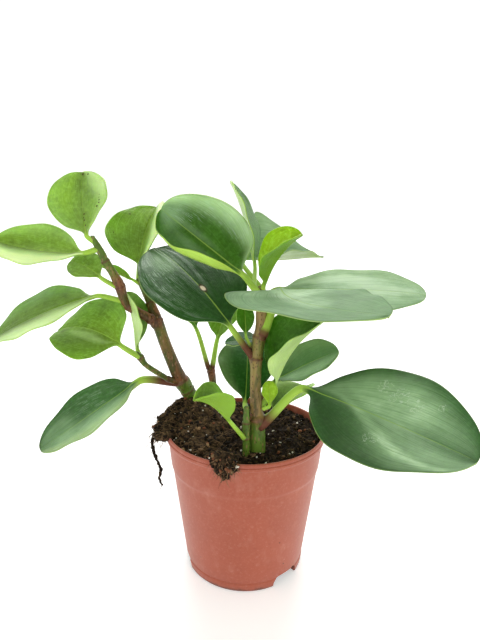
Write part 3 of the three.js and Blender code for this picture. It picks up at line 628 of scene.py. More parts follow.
def leaf_mesh(name, settings):
    """Blade and stalk of a leaf as one closed skin, with its place values for the finish."""
    leaf = LEAVES[name]
    length, width, droop = leaf.sizes
    stalk = leaf.stalk
    ahead, side0, up0 = leaf_frame(leaf.turns)
    bend, sway, twist = (math.radians(angle) for angle in (droop, *leaf.sweeps))
    columns = settings.blade_columns
    across = crowded(-1, columns, 0.6)
    u = np.concatenate([across, across[-2:0:-1]])
    far = np.abs(u)
    top = np.arange(2 * columns) <= columns
    circle = np.pi * (1 - np.arange(2 * columns) / columns)
    round_height = np.sin(circle) * np.where(np.sin(circle) > 0, 0.8, 1)
    fold, curl = (np.radians(np.where(u < 0, *pair)) for pair in (leaf.folds, leaf.curls))
    slope = fold + curl * far
    lean = np.where(u < 0, np.sin(slope), -np.sin(slope))
    seed = sum(ord(letter) for letter in name) * 7.31
    thick = (settings.edge + (settings.middle - settings.edge) * (1 - far)) / MM
    rows, values = [], []

    def round_row(centre, side, up, radius):
        return centre + radius * (np.outer(np.cos(circle), side) + np.outer(round_height, up))

    for centre, side, up, t in stalk_rings(leaf.root, leaf.base, ahead, side0, count=14):
        rows.append(round_row(centre, side, up, stalk * (1.3 - 0.3 * t)))
        values.append((t - 1, u * stalk, stalk, -1.0, ~top))
    centre, last = np.array(leaf.base, float), 0.0
    for t in crowded(0, settings.blade_steps, 0.92):
        # Where the row stands and how it is turned
        middle = (t + last) / 2
        flat = turned(ahead, side0, sway * middle)
        centre = centre + turned(flat, up0, -bend * middle) * length * (t - last)
        last = t
        flat, level = turned(ahead, side0, sway * t), turned(side0, ahead, -sway * t)
        above = turned(up0, flat, bend * t)
        side, up = turned(level, above, twist * t), turned(above, level, -twist * t)
        half = max(width / 2 * leaf_outline(name, t, leaf.widest), stalk * smooth(0.9, 0.3, t))
        # Ripples between the veins, wide waves and a wavy margin
        vein = far ** 0.8 - 0.4 * t + np.where(u < 0, 4, 0)
        rough = unevenness(vein, 7, t * 2.2, seed) + 0.5 * unevenness(vein, 15, t * 4, seed)
        wave = leaf.ripple * (0.45 * np.cos(2 * np.pi * vein / VEIN_GAP) + 1.1 * rough)
        wave = wave * smooth(0.02, 0.2, far) * smooth(0, 0.15, t) * smooth(1.0, 0.85, far)
        wave = wave + 0.9 * unevenness(u, 1.6, t * 1.8, seed + 40) * width / 60 * smooth(0, 0.2, t)
        margin = np.sin(t * 17 + seed + np.sign(u) * 1.3) * 0.9 * far ** 4 * smooth(0, 0.2, t)
        margin = margin * smooth(1, 0.8, t) * min(1.0, width / 50)
        # Rounded margin, rib below and groove above the midrib
        inset = np.clip(half * (1 - far) / 0.5, 0, 1)
        rounding = np.sqrt(1 - (1 - inset) ** 2)
        rib = stalk * (1 - t) ** 1.5 * np.exp(-(far * half / (1.5 * stalk)) ** 2)
        groove = 0.3 * (1 - t) ** 0.5 * np.exp(-(far * half / 0.9) ** 2)
        lift = np.where(top, thick * rounding / 2 - groove, -(thick / 2 + rib) * rounding) + wave + margin
        x = np.sign(u) * half * (np.sin(slope) - np.sin(fold)) / curl + lift * lean
        y = half * (np.cos(fold) - np.cos(slope)) / curl + lift * np.cos(slope)
        blend = smooth(0, 0.16, t)
        blade = centre + np.outer(x, side) + np.outer(y, up)
        rows.append(round_row(centre, side, up, stalk) * (1 - blend) + blade * blend)
        values.append((t, u * half, half, vein, np.where(far > 0.999, 0.5, ~top)))
    layers = {key: np.array([np.broadcast_to(row[i], u.shape) for row in values])
              for i, key in enumerate(("along", "aside", "half", "vein", "under"))}
    tint_leaf(name, layers)
    ends = rows[0].mean(axis=0), rows[-1].mean(axis=0)
    return sheet_mesh(name, np.array(rows), ends, layers)


def tint_leaf(name, layers):
    """Adds at each place of a leaf how brown it is, its tone and painted shade, painted margin light, painted
    sheen and glints, and how dull it is.
    """
    along, brown = layers["along"], LEAVES[name].brown
    layers["brown"] = smooth(brown, brown * 0.4 - 0.01, along + 1)
    shade, left, right, painted_sheen = LEAF_TINTS.get(name, (0, 0, 0, 0))
    sideways = layers["aside"] / np.maximum(layers["half"], 0.01)
    # Painted light on the lit margins
    layers["painted_margin_light"] = smooth(0.35, 1.0, np.abs(sideways)) * np.where(sideways < 0, left, right)
    for kind, level in (("shade", shade), ("painted_sheen", painted_sheen), ("glint", 0), ("matt", 0), ("fresh", 0)):
        layers[kind] = np.full(along.shape, float(level))
    for kind, ahead, aside, ahead_reach, aside_reach, level, *slant in LEAF_PATCHES.get(name, ()):
        slid = along - sum(slant) * sideways
        away = ((slid - ahead) / ahead_reach) ** 2 + ((sideways - aside) / aside_reach) ** 2
        layers[kind] += level * np.exp(-away ** 2)
    layers["leaf"] = np.full(along.shape, list(LEAVES).index(name))


def leaf_finish(tone, settings):
    """Waxy leaf: mottled upper side, pale midrib, veins and rim, painted whitish sheen and glints, painted
    light on lit margins, whitish underside.
    """
    old = {"dark": 1.0, "mid": 0.5, "lime": 0.0}[tone]
    finish = Finish("leaf_" + tone + "_finish", Specular_Tint=(0.75, 1.0, 0.35 + 0.35 * old),
                    Specular_IOR_Level=0.35 - 0.25 * old, Subsurface_Weight=0.6 - 0.5 * old,
                    Subsurface_Scale=3 * MM, Subsurface_Radius=(0.7, 1.0, 0.15))
    along, aside, vein, shade = (finish.value(name) for name in ("along", "aside", "vein", "shade"))
    mottle, grain, cloud = finish.noise(38, 3), finish.noise(420, 3), finish.noise(130, 4)
    grown = finish.node("CombineXYZ", {"X": along, "Y": vein, "Z": finish.value("leaf")}).outputs[0]
    strands = finish.noise(1, 4, stretch=(7, 55, 3), place=grown)
    upper = getattr(settings, tone)
    colour = finish.coats(
        finish.mix(mottle.band(0.35, 0.65), upper * 0.82, upper * 1.12),
        (finish.math("MAXIMUM", shade, 0.0), settings.yellow if tone == "lime" else settings.lime),
        (finish.math("MINIMUM", shade, 0.0) * -1.0, settings.dark * 0.5))
    lighter = finish.node("HueSaturation", {"Color": colour, "Value": 1.7, "Saturation": 0.9}).outputs[0]
    duller = finish.node("HueSaturation", {"Color": colour, "Value": 0.55}).outputs[0]
    # Painted whitish sheen
    painted_sheen = finish.value("painted_sheen") * (strands.band(0.3, 0.7) * 0.25 + 0.8) * (finish.noise(60, 6) + 0.5)
    # Painted streaky glints
    glints = strands.band(0.5, 0.62) * cloud.band(0.42, 0.56) * finish.value("glint")
    stripe = finish.math("PINGPONG", vein + (finish.noise(55, 2) - 0.5) * 0.08, VEIN_GAP / 2)
    veins = stripe.band(0.012, 0.001) * along.band(0.02, 0.2)
    far = abs(aside)
    rib = 1.0 - (far / ((1.3 - along) * 0.6)).band(0.25, 1.1)
    edge, blade = finish.value("half") - far, along.band(0.0, 0.05)
    colour = finish.coats(
        colour,
        (cloud.band(0.5, 0.3) * 0.6, duller),
        (grain.band(0.5, 0.65) * (0.3 + 0.2 * old), lighter),
        (grain.band(0.45, 0.35) * 0.3, duller),
        (strands.band(0.5, 0.72) * (0.5 - 0.25 * old), lighter),
        # Painted sheen, its painted highlight and painted glints
        (painted_sheen, PAINTED_SHEEN),
        (painted_sheen.band(0.65, 1.3) * 0.55, PAINTED_HIGHLIGHT),
        (glints, GLINT),
        (veins * 0.3, lighter),
        # Painted light on lit margins
        (finish.value("painted_margin_light") * (mottle + 0.6), LIT_MARGIN),
        (rib * (0.85 - 0.2 * old - along * 0.25), settings.stalk),
        (edge.band(2.2, 0.6) * blade * 0.25, duller),
        (edge.band(0.4, 0.05) * blade * (0.4 - 0.2 * old), settings.stalk))
    colour = leaf_marks(finish, tone, colour, along, aside)
    pale = settings.pale * (1.2 - 0.45 * old) if old else settings.lime * 1.3
    below = finish.coats(
        finish.mix(mottle.band(0.3, 0.7), pale * 0.8, pale),
        (finish.value("fresh"), FRESH_UNDERSIDE),
        (strands.band(0.45, 0.62) * 0.25, settings.lime * 1.2))
    colour = finish.coats(
        colour,
        (finish.value("under"), below),
        (along.band(0.06, -0.03), settings.stalk),
        (finish.value("brown"), settings.brown))
    height = grain * 0.5 + mottle * 2.0 + strands * 0.6 + cloud * 0.7
    rough = cloud.between(0.24, 0.42) + finish.value("matt") * 0.45
    return finish.done(colour, height, 0.5, 0.5 * MM, Roughness=rough)


def leaf_marks(finish, tone, colour, along, aside):
    """Small brown dots, a torn spot and dried water marks on single leaves."""
    ragged = (finish.noise(500, 3) - 0.5) * 1.2
    curls = abs(finish.noise(300, 2) - 0.5).band(0.03, 0.01)
    number = finish.value("leaf")
    for name, marks in LEAF_MARKS.items():
        leaf = LEAVES[name]
        if leaf.tone != tone:
            continue
        here = finish.math("COMPARE", number, list(LEAVES).index(name), 0.5)
        for share, sideways, radius, kind in marks:
            ahead = (along - share) * (leaf.sizes[0] / (1.9 if kind == "tear" else 1))
            level = aside - sideways
            away = finish.math("SQRT", ahead * ahead + level * level) + ragged
            spot = away.band(radius, radius * 0.6) * here
            if kind == "dot":
                colour = finish.mix(spot * 0.9, colour, BROWN_DOT)
            elif kind == "stain":
                colour = finish.mix(spot * (curls * 0.4), colour, WATER_MARK)
            else:
                inner = away.band(radius * 0.6, radius * 0.35) * here
                colour = finish.coats(colour, (spot * 0.85, TEAR_EDGE), (inner, TEAR))
    return colour


class PLANT_OT_leaves(bpy.types.Operator):
    """Builds every leaf with its stalk, midrib, veins and underside"""
    bl_idname = "plant.leaves"
    bl_label = "Leaves"

    def execute(self, context):
        settings = context.scene.plant_leaves
        finishes = {tone: leaf_finish(tone, settings) for tone in ("dark", "mid", "lime")}
        for name, leaf in LEAVES.items():
            finish_piece(name + "_fine", leaf_mesh(name, settings), finishes[leaf.tone],
                         "leaf_" + leaf.tone, name)
        return {"FINISHED"}


def line_places(stops, step):
    """Even places along a smooth line through the stops, each with the stop values between."""
    stops = np.array(stops, float)
    padded = np.vstack([2 * stops[0] - stops[1], stops, 2 * stops[-1] - stops[-2]])
    places = []
    for i in range(1, len(padded) - 2):
        before, start, end, after = padded[i - 1:i + 3]
        parts = max(2, int(np.linalg.norm(end[:3] - start[:3]) / step))
        for k in range(parts):
            t = k / parts
            places.append(0.5 * (2 * start + (end - before) * t
                                 + (2 * before - 5 * start + 4 * end - after) * t * t
                                 + (3 * start - before - 3 * end + after) * t ** 3))
    places.append(stops[-1])
    return np.array(places)


def tube_mesh(name, places, sides, values):
    """A closed tube along places of centre and radius; values are kept for each ring."""
    centres, radii = places[:, :3], places[:, 3]
    along = np.gradient(centres, axis=0)
    turn = np.linspace(0, 2 * np.pi, sides, endpoint=False)
    side = unit(np.cross(along[0], (0.1, 1.0, 0.05)))
    rings = []
    for centre, radius, direction in zip(centres, radii, along):
        direction = unit(direction)
        side = unit(side - direction * side.dot(direction))
        up = np.cross(direction, side)
        rings.append(centre + radius * (np.outer(np.cos(turn), side) + np.outer(np.sin(turn), up)))
    ends = (centres[0] - unit(along[0]) * radii[0] * 0.2, centres[-1] + unit(along[-1]) * radii[-1] * 0.6)
    layers = {key: np.repeat(array[:, None], sides, axis=1) for key, array in values.items()}
    return sheet_mesh(name, np.array(rings), ends, layers)


def add_knob(part, place, facing, across, out, ring):
    """A flattened knob on a stem that faces outwards: a bud or the scar of a leaf."""
    turn = Vector(facing).to_track_quat("Z", "Y").to_matrix().to_4x4()
    matrix = Matrix.Translation(Vector(place) * MM) @ turn @ Matrix.Diagonal((across, across, out, 1))
    layers = part.verts.layers.float
    for vertex in bmesh.ops.create_icosphere(part, subdivisions=3, radius=MM, matrix=matrix)["verts"]:
        vertex[layers["ring"]] = ring
        vertex[layers["bark"]] = 1.0


def stem_mesh(name):
    """All shoots of a stem, with swollen nodes, buds and scars, as closed skins in one mesh."""
    whole = bmesh.new()
    chance = random.Random(name)
    buds = []
    for stops, nodes in zip(STEMS[name], NODE_HEIGHTS[name]):
        places = line_places(stops, step=0.6)
        ring = np.zeros(len(places))
        for node in nodes:
            gap = places[:, 2] - node
            places[:, 3] += 0.35 * np.exp(-(gap / 0.7) ** 2) - 0.25 * np.exp(-((gap - 1.8) / 0.8) ** 2)
            ring = np.maximum(ring, np.exp(-(gap / 0.9) ** 2))
            here = places[np.abs(gap).argmin()]
            turn = chance.uniform(0, 2 * math.pi)
            facing = Vector((math.cos(turn), math.sin(turn), 0.8)).normalized()
            buds.append((Vector(here[:3]) + facing * here[3] * 0.95, facing))
        tan = np.clip((places[:, 2] - TAN_FROM.get(name, math.inf)) / 8, 0, 1)
        values = {"bark": places[:, 4], "ring": ring, "tan": tan}
        part = tube_mesh(name + "_part", places, 32, values)
        whole.from_mesh(part)
        bpy.data.meshes.remove(part)
    for vertex in whole.verts:
        place = vertex.co / MM
        vertex.co += vertex.normal * MM * (0.12 * noise.noise(place * 0.4) + 0.05 * noise.noise(place * 1.5))
    for place, facing in buds:
        add_knob(whole, place, facing, across=0.9, out=1.9, ring=0.0)
    for stem, place, facing, radius in SCARS:
        if stem == name:
            add_knob(whole, place, facing, across=radius, out=0.7, ring=1.0)
    return as_mesh(name, whole)


def stem_finish(settings):
    """Fleshy green stem with brown bark streaks, fine specks and reddish rings at the nodes."""
    finish = Finish("stem_finish", Roughness=0.38, Subsurface_Weight=0.08, Subsurface_Scale=2 * MM,
                    Subsurface_Radius=(1, 0.8, 0.3), Specular_IOR_Level=0.25)
    streak, fine = finish.noise(150, 5, stretch=(1.6, 1.6, 0.35)), finish.noise(900, 3)
    green, bark, scar = settings.green, settings.bark, settings.scar
    leafy = finish.mix(streak.band(0.35, 0.65), green * 0.75, green * 1.3)
    woody = finish.mix(streak.band(0.4, 0.62), bark * 0.55, bark * 1.5)
    share = finish.value("bark") * (streak * 1.7 + 0.1)
    ring = finish.value("ring") * (streak * 0.6 + 0.65)
    colour = finish.coats(
        finish.mix(share.band(0.05, 0.95), leafy, woody),
        (finish.value("tan") * streak.band(0.3, 0.68) * 0.85, TAN_BARK),
        (finish.specks(420, 0.32, (1, 1, 0.45)) * 0.5, scar * 1.2),
        (finish.specks(600, 0.3, (1, 1, 0.6)) * 0.7, bark * 0.4),
        (ring.band(0.1, 0.8) * 0.6, NODE_RING),
        (ring.band(0.88, 1.0) * 0.6, scar))
    return finish.done(colour, streak + fine * 0.4, 0.45, 0.6 * MM)


class PLANT_OT_stems(bpy.types.Operator):
    """Builds the stems with their nodes"""
    bl_idname = "plant.stems"
    bl_label = "Stems"

    def execute(self, context):
        material = stem_finish(context.scene.plant_stems)
        for name in STEMS:
            finish_piece(name + "_fine", stem_mesh(name), material, "stem", name)
        return {"FINISHED"}


def grow_ring(shape, edges):
    """Extrudes a ring of open edges; gives the new open edges and their points."""
    made = bmesh.ops.extrude_edge_only(shape, edges=edges)["geom"]
    edges = [item for item in made if isinstance(item, bmesh.types.BMEdge) and item.is_boundary]
    return edges, list({vertex for edge in edges for vertex in edge.verts})


def soil_height(x, y):
    """Height of the soil's top over the table, in millimetres, with its clods."""
    heap = 15 * math.exp(-((x + 42) ** 2 / 900 + (y - 22) ** 2 / 1200))
    small = 1.1 * math.sin(x * 0.41 + 1.3) * math.cos(y * 0.37)
    wide = 0.8 * math.sin(x * 0.23 - y * 0.31)
    clods = 1.6 * noise.fractal((x * 0.16, y * 0.16, 3.0), 0.8, 2.1, 4)
    cells = noise.voronoi((x * 0.32, y * 0.32, 0.5))[0]
    grit = 1.2 * (0.55 - cells[0]) + 0.5 * noise.noise((x * 1.3, y * 1.3, 7.0))
    edge = max(0.0, math.hypot(x, y) - 47) / 10
    return SOIL_LEVEL + heap + small + wide + clods + grit - 3 * edge * edge


def add_rim_lump(bed, lump):
    """A rough lump of soil that hangs over the rim; the last one narrows downwards."""
    turn, radius, height, inwards, across, upwards = lump
    place = (Matrix.Rotation(math.radians(turn), 4, "Z") @ Matrix.Translation((radius * MM, 0, height * MM))
             @ Matrix.Diagonal((inwards * MM, across * MM, upwards * MM, 1)))
    middle = place.translation.copy()
    for vertex in bmesh.ops.create_icosphere(bed, subdivisions=5, radius=1, matrix=place)["verts"]:
        if lump is RIM_LUMPS[-1]:
            below = max(0.0, (middle.z - vertex.co.z) / (upwards * MM))
            vertex.co.x += (middle.x - vertex.co.x) * 0.8 * below
        spot = vertex.co / MM
        rough = 1.3 * noise.fractal(spot * 0.3, 0.8, 2.1, 4) - 0.8 * noise.voronoi(spot * 0.5)[0][0]
        vertex.co += (vertex.co - middle).normalized() * MM * rough


def soil_mesh():
    """The whole mass of soil: a lumpy top drawn from a square grid, with walls to the pot's floor."""
    bed = bmesh.new()
    cells = 170
    bmesh.ops.create_grid(bed, x_segments=cells, y_segments=cells, size=1)
    rim = [edge for edge in bed.edges if edge.is_boundary]
    for vertex in bed.verts:
        x, y = vertex.co.x, vertex.co.y
        place = Vector((x * math.sqrt(1 - y * y / 2), y * math.sqrt(1 - x * x / 2))) * SOIL_RADIUS
        vertex.co = Vector((place.x, place.y, soil_height(place.x, place.y))) * MM
    for radius, height in SOIL_WALL:
        rim, points = grow_ring(bed, rim)
        for vertex in points:
            flat = vertex.co.xy.normalized() * radius * MM
            vertex.co = Vector((flat.x, flat.y, height * MM))
    bmesh.ops.contextual_create(bed, geom=rim)
    for lump in RIM_LUMPS:
        add_rim_lump(bed, lump)
    bmesh.ops.recalc_face_normals(bed, faces=bed.faces)
    return as_mesh("soil", bed)


def soil_finish(settings):
    """Dark damp peat with dry fibres in it, drier on the heaped side."""
    finish = Finish("soil_finish", Roughness=0.85, Specular_IOR_Level=0.1)
    clods, grit = finish.noise(260, 6, rough=0.7), finish.noise(1500, 4, rough=0.7)
    dry = finish.axis("X").band(0.01, -0.04) * 0.6 + 0.05
    dark, light = settings.colour, settings.light
    damp = finish.mix(clods.band(0.4, 0.68), dark * 0.8, dark * 3)
    dried = finish.mix(clods.band(0.38, 0.65), dark, light * 0.6)
    colour = finish.coats(damp, (dry, dried), (grit.band(0.6, 0.75) * (dry + 0.15), light))
    return finish.done(colour, clods + grit * 0.6, 1.0, 1.5 * MM)


def litter_finish(settings):
    """Crumbs and fibres, each piece a shade of its own between damp and dry, or bark, or white."""
    finish = Finish("soil_litter_finish", Roughness=0.8, Specular_IOR_Level=0.15)
    shade, grit = finish.value("shade"), finish.noise(900, 4, rough=0.7)
    dry = finish.axis("X").band(0.02, -0.03) * 0.55 + 0.45
    pale = finish.math("POWER", shade, 1.5) * (dry * 1.3)
    colour = finish.coats(
        finish.mix(pale, settings.colour, settings.light),
        (shade.band(0.82, 0.85), settings.chip),
        (grit.band(0.5, 0.7) * 0.4, settings.colour * 0.8),
        (shade.band(0.9, 0.95), settings.perlite))
    return finish.done(colour, grit, 0.8, 0.5 * MM)


def soil_spot(chance, lumps=None):
    """A place on top of the soil or on one of the lumps over the rim, in millimetres."""
    if lumps is None and chance.random() < 0.75:
        turn, radius = chance.uniform(0, 2 * math.pi), 56.5 * math.sqrt(chance.random())
        x, y = radius * math.cos(turn), radius * math.sin(turn)
        return Vector((x, y, soil_height(x, y)))
    turn, radius, height, inwards, across, upwards = chance.choice(lumps or RIM_LUMPS)
    push = Vector((chance.gauss(0, 1), chance.gauss(0, 1), abs(chance.gauss(0, 1)) - 0.3)).normalized()
    if lumps:
        push.z = chance.uniform(-1, 0.6)
        push.y *= 1 - 0.75 * max(0.0, -push.z)
        push.x = abs(push.x)
    place = Vector((radius + push.x * inwards, push.y * across, height + push.z * upwards))
    return Matrix.Rotation(math.radians(turn), 3, "Z") @ place


def add_thread(part, points, radius):
    """A thin closed thread through the points, tapered to its far end."""
    along = (points[1] - points[0]).normalized()
    place = Matrix.Translation(points[0] * MM) @ along.to_track_quat("Z", "Y").to_matrix().to_4x4()
    bmesh.ops.create_circle(part, cap_ends=True, segments=4, radius=radius * MM, matrix=place)
    edges = list(part.edges)
    for before, point in zip(points, points[1:]):
        edges, ring = grow_ring(part, edges)
        bmesh.ops.translate(part, verts=ring, vec=(point - before) * MM)
        bmesh.ops.scale(part, verts=ring, vec=(0.85, 0.85, 0.85), space=Matrix.Translation(-point * MM))
    bmesh.ops.contextual_create(part, geom=edges)


def add_crumb(part, chance, spot, size):
    """A rough crumb of soil or a white grain, flattened and turned at random."""
    squash = Matrix.Diagonal((chance.uniform(0.6, 1.3), chance.uniform(0.6, 1.3),
                              chance.uniform(0.5, 0.9), 1))
    turn = Matrix.Rotation(chance.uniform(0, 6.3), 4, [chance.random() for _ in range(3)])
    place = Matrix.Translation((spot + Vector((0, 0, size * 0.3))) * MM) @ turn @ squash
    bmesh.ops.create_icosphere(part, subdivisions=2 if size > 0.9 else 1, radius=size * MM, matrix=place)
    for vertex in part.verts:
        rough = noise.noise(vertex.co / MM * 1.3 + Vector((size * 50, 0, 0)))
        vertex.co += (vertex.co - spot * MM) * 0.5 * rough


class Heap:
    """Many small parts gathered into one mesh, each with a shade of its own."""

    def __init__(self):
        self.store = bpy.data.meshes.new("store")
        self.whole = bmesh.new()

    def add(self, build, shade, *values):
        part = bmesh.new()
        build(part, *values)
        bmesh.ops.recalc_face_normals(part, faces=part.faces)
        layer = part.verts.layers.float.new("shade")
        for vertex in part.verts:
            vertex[layer] = shade
        part.to_mesh(self.store)
        part.free()
        self.whole.from_mesh(self.store)

    def close(self, name):
        bpy.data.meshes.remove(self.store)
        return as_mesh(name, self.whole)


def add_fibre(heap, chance, start, step, steepest):
    """A curly fibre that lies on the soil, or hangs off it, from a start point."""
    turn, rise = chance.uniform(0, 2 * math.pi), chance.uniform(steepest - 0.7, steepest)
    points = [start + Vector((0, 0, 0.2))]
    for _ in range(chance.randint(3, 6)):
        turn += chance.uniform(-0.9, 0.9)
        rise -= chance.uniform(0.0, 0.35)
        points.append(points[-1] + Vector((math.cos(turn), math.sin(turn), rise)) * step)
    heap.add(add_thread, chance.uniform(0.3, 0.8), points, chance.uniform(0.12, 0.3))


def litter_mesh(settings):
    """Loose crumbs, chips of bark, white grains and fibres on the soil and over the rim."""
    chance = random.Random(11)
    heap = Heap()
    front, side = RIM_LUMPS[-2:], RIM_LUMPS[2:7]
    for i in range(settings.crumbs):
        white, chip, spill = i % 20 == 0, i % 40 == 1, i % 9 == 2
        spot = soil_spot(chance, front if spill else None)
        shade = chance.random() ** 4 * 0.8
        size = chance.uniform(0.4, 1.35) ** 1.6
        if white:
            shade, size = 1.0, chance.uniform(0.45, 1.15)
        elif chip or spill and chance.random() < 0.25:
            shade, size = 0.87, chance.uniform(0.7, 1.7)
        heap.add(add_crumb, shade, chance, spot, size)
    # Two fibres in twelve hang off the front and the side: lumps, shortest and longest step, rise
    hanging = {0: (front, 0.6, 1.2, 0.2), 1: (side, 0.8, 1.8, -0.1)}
    for i in range(settings.fibres):
        lumps, shortest, longest, steepest = hanging.get(i % 12, (None, 0.6, 1.6, 0.6))
        add_fibre(heap, chance, soil_spot(chance, lumps), chance.uniform(shortest, longest), steepest)
    for place in line_places(ROOT_STRAND, 3.0):
        start = Vector(place[:3])
        add_fibre(heap, chance, start, chance.uniform(0.8, 1.5), -0.3)
        heap.add(add_crumb, chance.random() * 0.3, chance, start, chance.uniform(0.7, 1.2))
    return heap.close("soil_litter")


def strand_mesh():
    """The knotty root that hangs over the rim."""
    places = line_places(ROOT_STRAND, 0.8)
    for place in places:
        place[3] *= 1 + 0.5 * noise.noise(Vector(place[:3]) * 0.8)
        place[0] += 0.6 * noise.noise(Vector((place[2] * 0.5, 3, 0)))
    return tube_mesh("root_strand", places, 12, {"shade": np.zeros(len(places))})


class PLANT_OT_soil(bpy.types.Operator):
    """Builds the soil with its crumbs, white grains, fibres and the root that hangs over the rim"""
    bl_idname = "plant.soil"
    bl_label = "Soil"

    def execute(self, context):
        settings = context.scene.plant_soil
        litter = litter_finish(settings)
        finish_piece("soil_fine", soil_mesh(), soil_finish(settings), "soil", "soil")
        finish_piece("soil_litter", litter_mesh(settings), litter, "soil")
        finish_piece("root_strand", strand_mesh(), litter, "soil")
        return {"FINISHED"}


def notch_cutter(settings):
    """Blocks with rounded upper corners that cut the notches out of the pot's foot."""
    cutter = bmesh.new()
    for angle in NOTCH_ANGLES:
        place = (Matrix.Rotation(math.radians(angle), 4, "Z") @ Matrix.Translation((44 * MM, 0, 0))
                 @ Matrix.Diagonal((14 * MM, settings.notch_width, 2 * settings.notch_height, 1)))
        block = bmesh.ops.create_cube(cutter, size=1, matrix=place)["verts"]
        corners = [edge for edge in {edge for vertex in block for edge in vertex.link_edges}
                   if all(vertex.co.z > 0 for vertex in edge.verts) and edge.calc_length() < 20 * MM]
        bmesh.ops.bevel(cutter, geom=corners, offset=NOTCH_CORNER * MM, affect="EDGES", segments=8,
                        profile=0.5, material=-1)
    return as_mesh("notches", cutter)


def pot_mesh(settings):
    """The thin plastic pot, spun from its section, with three notches cut in the foot."""
    wall = bmesh.new()
    ring = [wall.verts.new((radius * MM, 0, height * MM)) for radius, height in POT_SECTION]
    edges = [wall.edges.new(pair) for pair in zip(ring, ring[1:])]
    bmesh.ops.spin(wall, geom=ring + edges, cent=(0, 0, 0), axis=(0, 0, 1), angle=2 * math.pi,
                   steps=settings.sides, use_merge=True)
    bmesh.ops.remove_doubles(wall, verts=wall.verts, dist=1e-6)
    bmesh.ops.recalc_face_normals(wall, faces=wall.faces)
    whole = add_object("pot_whole", as_mesh("pot", wall))
    tool = add_object("pot_cut", notch_cutter(settings))
    cut = whole.modifiers.new("Notches", "BOOLEAN")
    cut.operation, cut.solver, cut.object = "DIFFERENCE", "EXACT", tool
    bpy.context.view_layer.update()
    made = bpy.data.meshes.new_from_object(whole.evaluated_get(bpy.context.evaluated_depsgraph_get()))
    for item in (whole, tool):
        bpy.data.objects.remove(item)
    made.set_sharp_from_angle(angle=math.radians(40))
    made.materials.clear()
    return made


def pot_finish(settings):
    """Matt moulded plastic with dust, scuffs and specks of soil."""
    finish = Finish("pot_finish", Sheen_Weight=0.2, Sheen_Roughness=0.4, Specular_IOR_Level=0.3)
    cloud, fine = finish.noise(14, 4), finish.noise(700, 3)
    scuff = finish.noise(110, 5, stretch=(1, 1, 0.6))
    grain = finish.noise(520, 4, rough=0.7)
    marks = finish.noise(260, 3, stretch=(1, 1, 3)).band(0.7, 0.78) * cloud.band(0.5, 0.62)
    # Darker towards the bottom of the foot, with a noisy upper edge
    foot = (finish.axis("Z") - scuff * (9 * MM)).band(-0.5 * MM, -4 * MM)
    plastic, dust = settings.colour, settings.dust
    colour = finish.coats(
        finish.mix(cloud.band(0.3, 0.7), plastic * 0.92, plastic * 1.07),
        (scuff.band(0.5, 0.8) * 0.25, dust),
        (marks * 0.7, SCRATCH),
        (foot * 0.75, FOOT_DARKENING),
        (grain.band(0.52, 0.7) * 0.2, dust),
        (grain.band(0.45, 0.3) * 0.3, plastic * 0.6),
        (finish.specks(95, 0.07) * cloud.band(0.45, 0.6), SOIL_SPECK))
    return finish.done(colour, fine + scuff * 1.5, 0.15, 0.3 * MM, Roughness=scuff.between(0.42, 0.62))


class PLANT_OT_pot(bpy.types.Operator):
    """Builds the moulded nursery pot"""
    bl_idname = "plant.pot"
    bl_label = "Pot"

    def execute(self, context):
        settings = context.scene.plant_pot
        finish_piece("pot_fine", pot_mesh(settings), pot_finish(settings), "pot", "pot")
        return {"FINISHED"}


def light_sky(world, settings):
    """A dome that is brightest low down and behind the plant, seen as plain white."""
    sky = Nodes(world, "Generated")
    light = (sky.axis("Z").graded(0.05, 0.8, settings.sky_low, settings.sky_high)
             * sky.axis("Y").graded(-0.8, 0.4, settings.sky_front, 1))
    camera = sky.node("LightPath", {}).outputs["Is Camera Ray"]
    seen = sky.node("Mix", {"Factor": camera, "A": light, "B": SEEN_SKY})
    sky.give(sky.tree.nodes["Background"], {"Color": (1, 1, 1), "Strength": seen.outputs["Result"]})


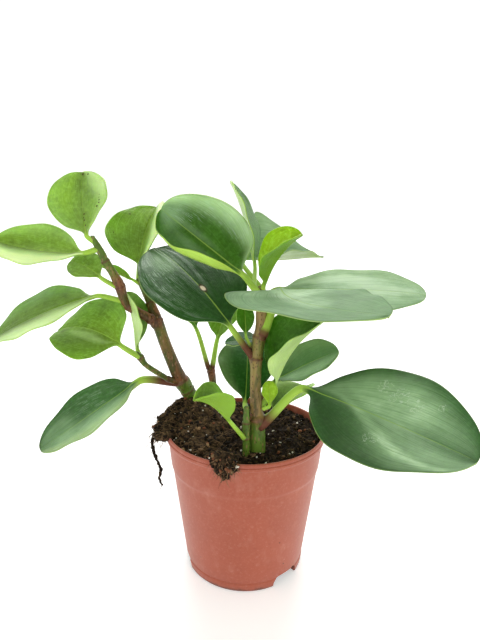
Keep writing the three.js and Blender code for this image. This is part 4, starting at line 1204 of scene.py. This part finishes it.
class PLANT_OT_stage(bpy.types.Operator):
    """Lays the pale floor and sets the light and the camera"""
    bl_idname = "plant.stage"
    bl_label = "Stage"

    def execute(self, context):
        settings, scene = context.scene.plant_stage, context.scene
        ground = bmesh.new()
        bmesh.ops.create_grid(ground, x_segments=4, y_segments=4, size=FLOOR_REACH)
        floor = add_object("floor", as_mesh("floor", ground))
        floor.data.materials.append(Finish(
            "floor_finish", Base_Color=settings.floor, Roughness=0.7, Specular_IOR_Level=0.2,
            Emission_Color=(1, 0.99, 0.98), Emission_Strength=settings.floor_light).material)
        scene.world = bpy.data.worlds.new("studio")
        light_sky(scene.world, settings)
        lamp = bpy.data.lights.new("lamp_over", "SUN")
        lamp.energy, lamp.angle = settings.lamp, settings.lamp_spread
        add_object("lamp_over", lamp).rotation_euler = Vector(LAMP_FROM).to_track_quat("Z", "Y").to_euler()
        camera = bpy.data.cameras.new("camera")
        camera.lens, camera.sensor_width = 27, 36
        camera.clip_start, camera.clip_end = 0.01, 30
        back = Vector((0, -math.cos(settings.elevation), math.sin(settings.elevation)))
        roll = Matrix.Rotation(math.radians(CAMERA_ROLL), 3, "Z")
        view = add_object("camera", camera)
        view.location = Vector(CAMERA_TARGET) * MM + back * settings.distance
        view.rotation_euler = ((-back).to_track_quat("-Z", "Y").to_matrix() @ roll).to_euler()
        scene.camera = view
        scene.view_settings.view_transform = "Standard"
        return {"FINISHED"}


class PLANT_PT_panel(bpy.types.Panel):
    """Lists the pieces of the plant"""
    bl_idname = "PLANT_PT_panel"
    bl_label = "Potted peperomia"
    bl_space_type = "VIEW_3D"
    bl_region_type = "UI"
    bl_category = "Plant"

    def draw(self, context):
        for step in SETTINGS:
            box = self.layout.box()
            box.operator("plant." + step)
            settings = getattr(context.scene, "plant_" + step)
            for name in settings.__annotations__:
                box.prop(settings, name)


# Operators in their order, each with its settings
SETTINGS = {
    "pot": PlantPotSettings, "soil": PlantSoilSettings, "stems": PlantStemSettings,
    "leaves": PlantLeafSettings, "stage": PlantStageSettings,
}
CLASSES = (*SETTINGS.values(), PLANT_OT_pot, PLANT_OT_soil, PLANT_OT_stems, PLANT_OT_leaves,
           PLANT_OT_stage, PLANT_PT_panel)


def register():
    for kind in CLASSES:
        bpy.utils.register_class(kind)
    for step, kind in SETTINGS.items():
        setattr(bpy.types.Scene, "plant_" + step, bpy.props.PointerProperty(type=kind))


def unregister():
    for step in SETTINGS:
        delattr(bpy.types.Scene, "plant_" + step)
    for kind in reversed(CLASSES):
        bpy.utils.unregister_class(kind)


def main():
    register()
    for step in SETTINGS:
        getattr(bpy.ops.plant, step)()


if __name__ == "__main__":
    main()
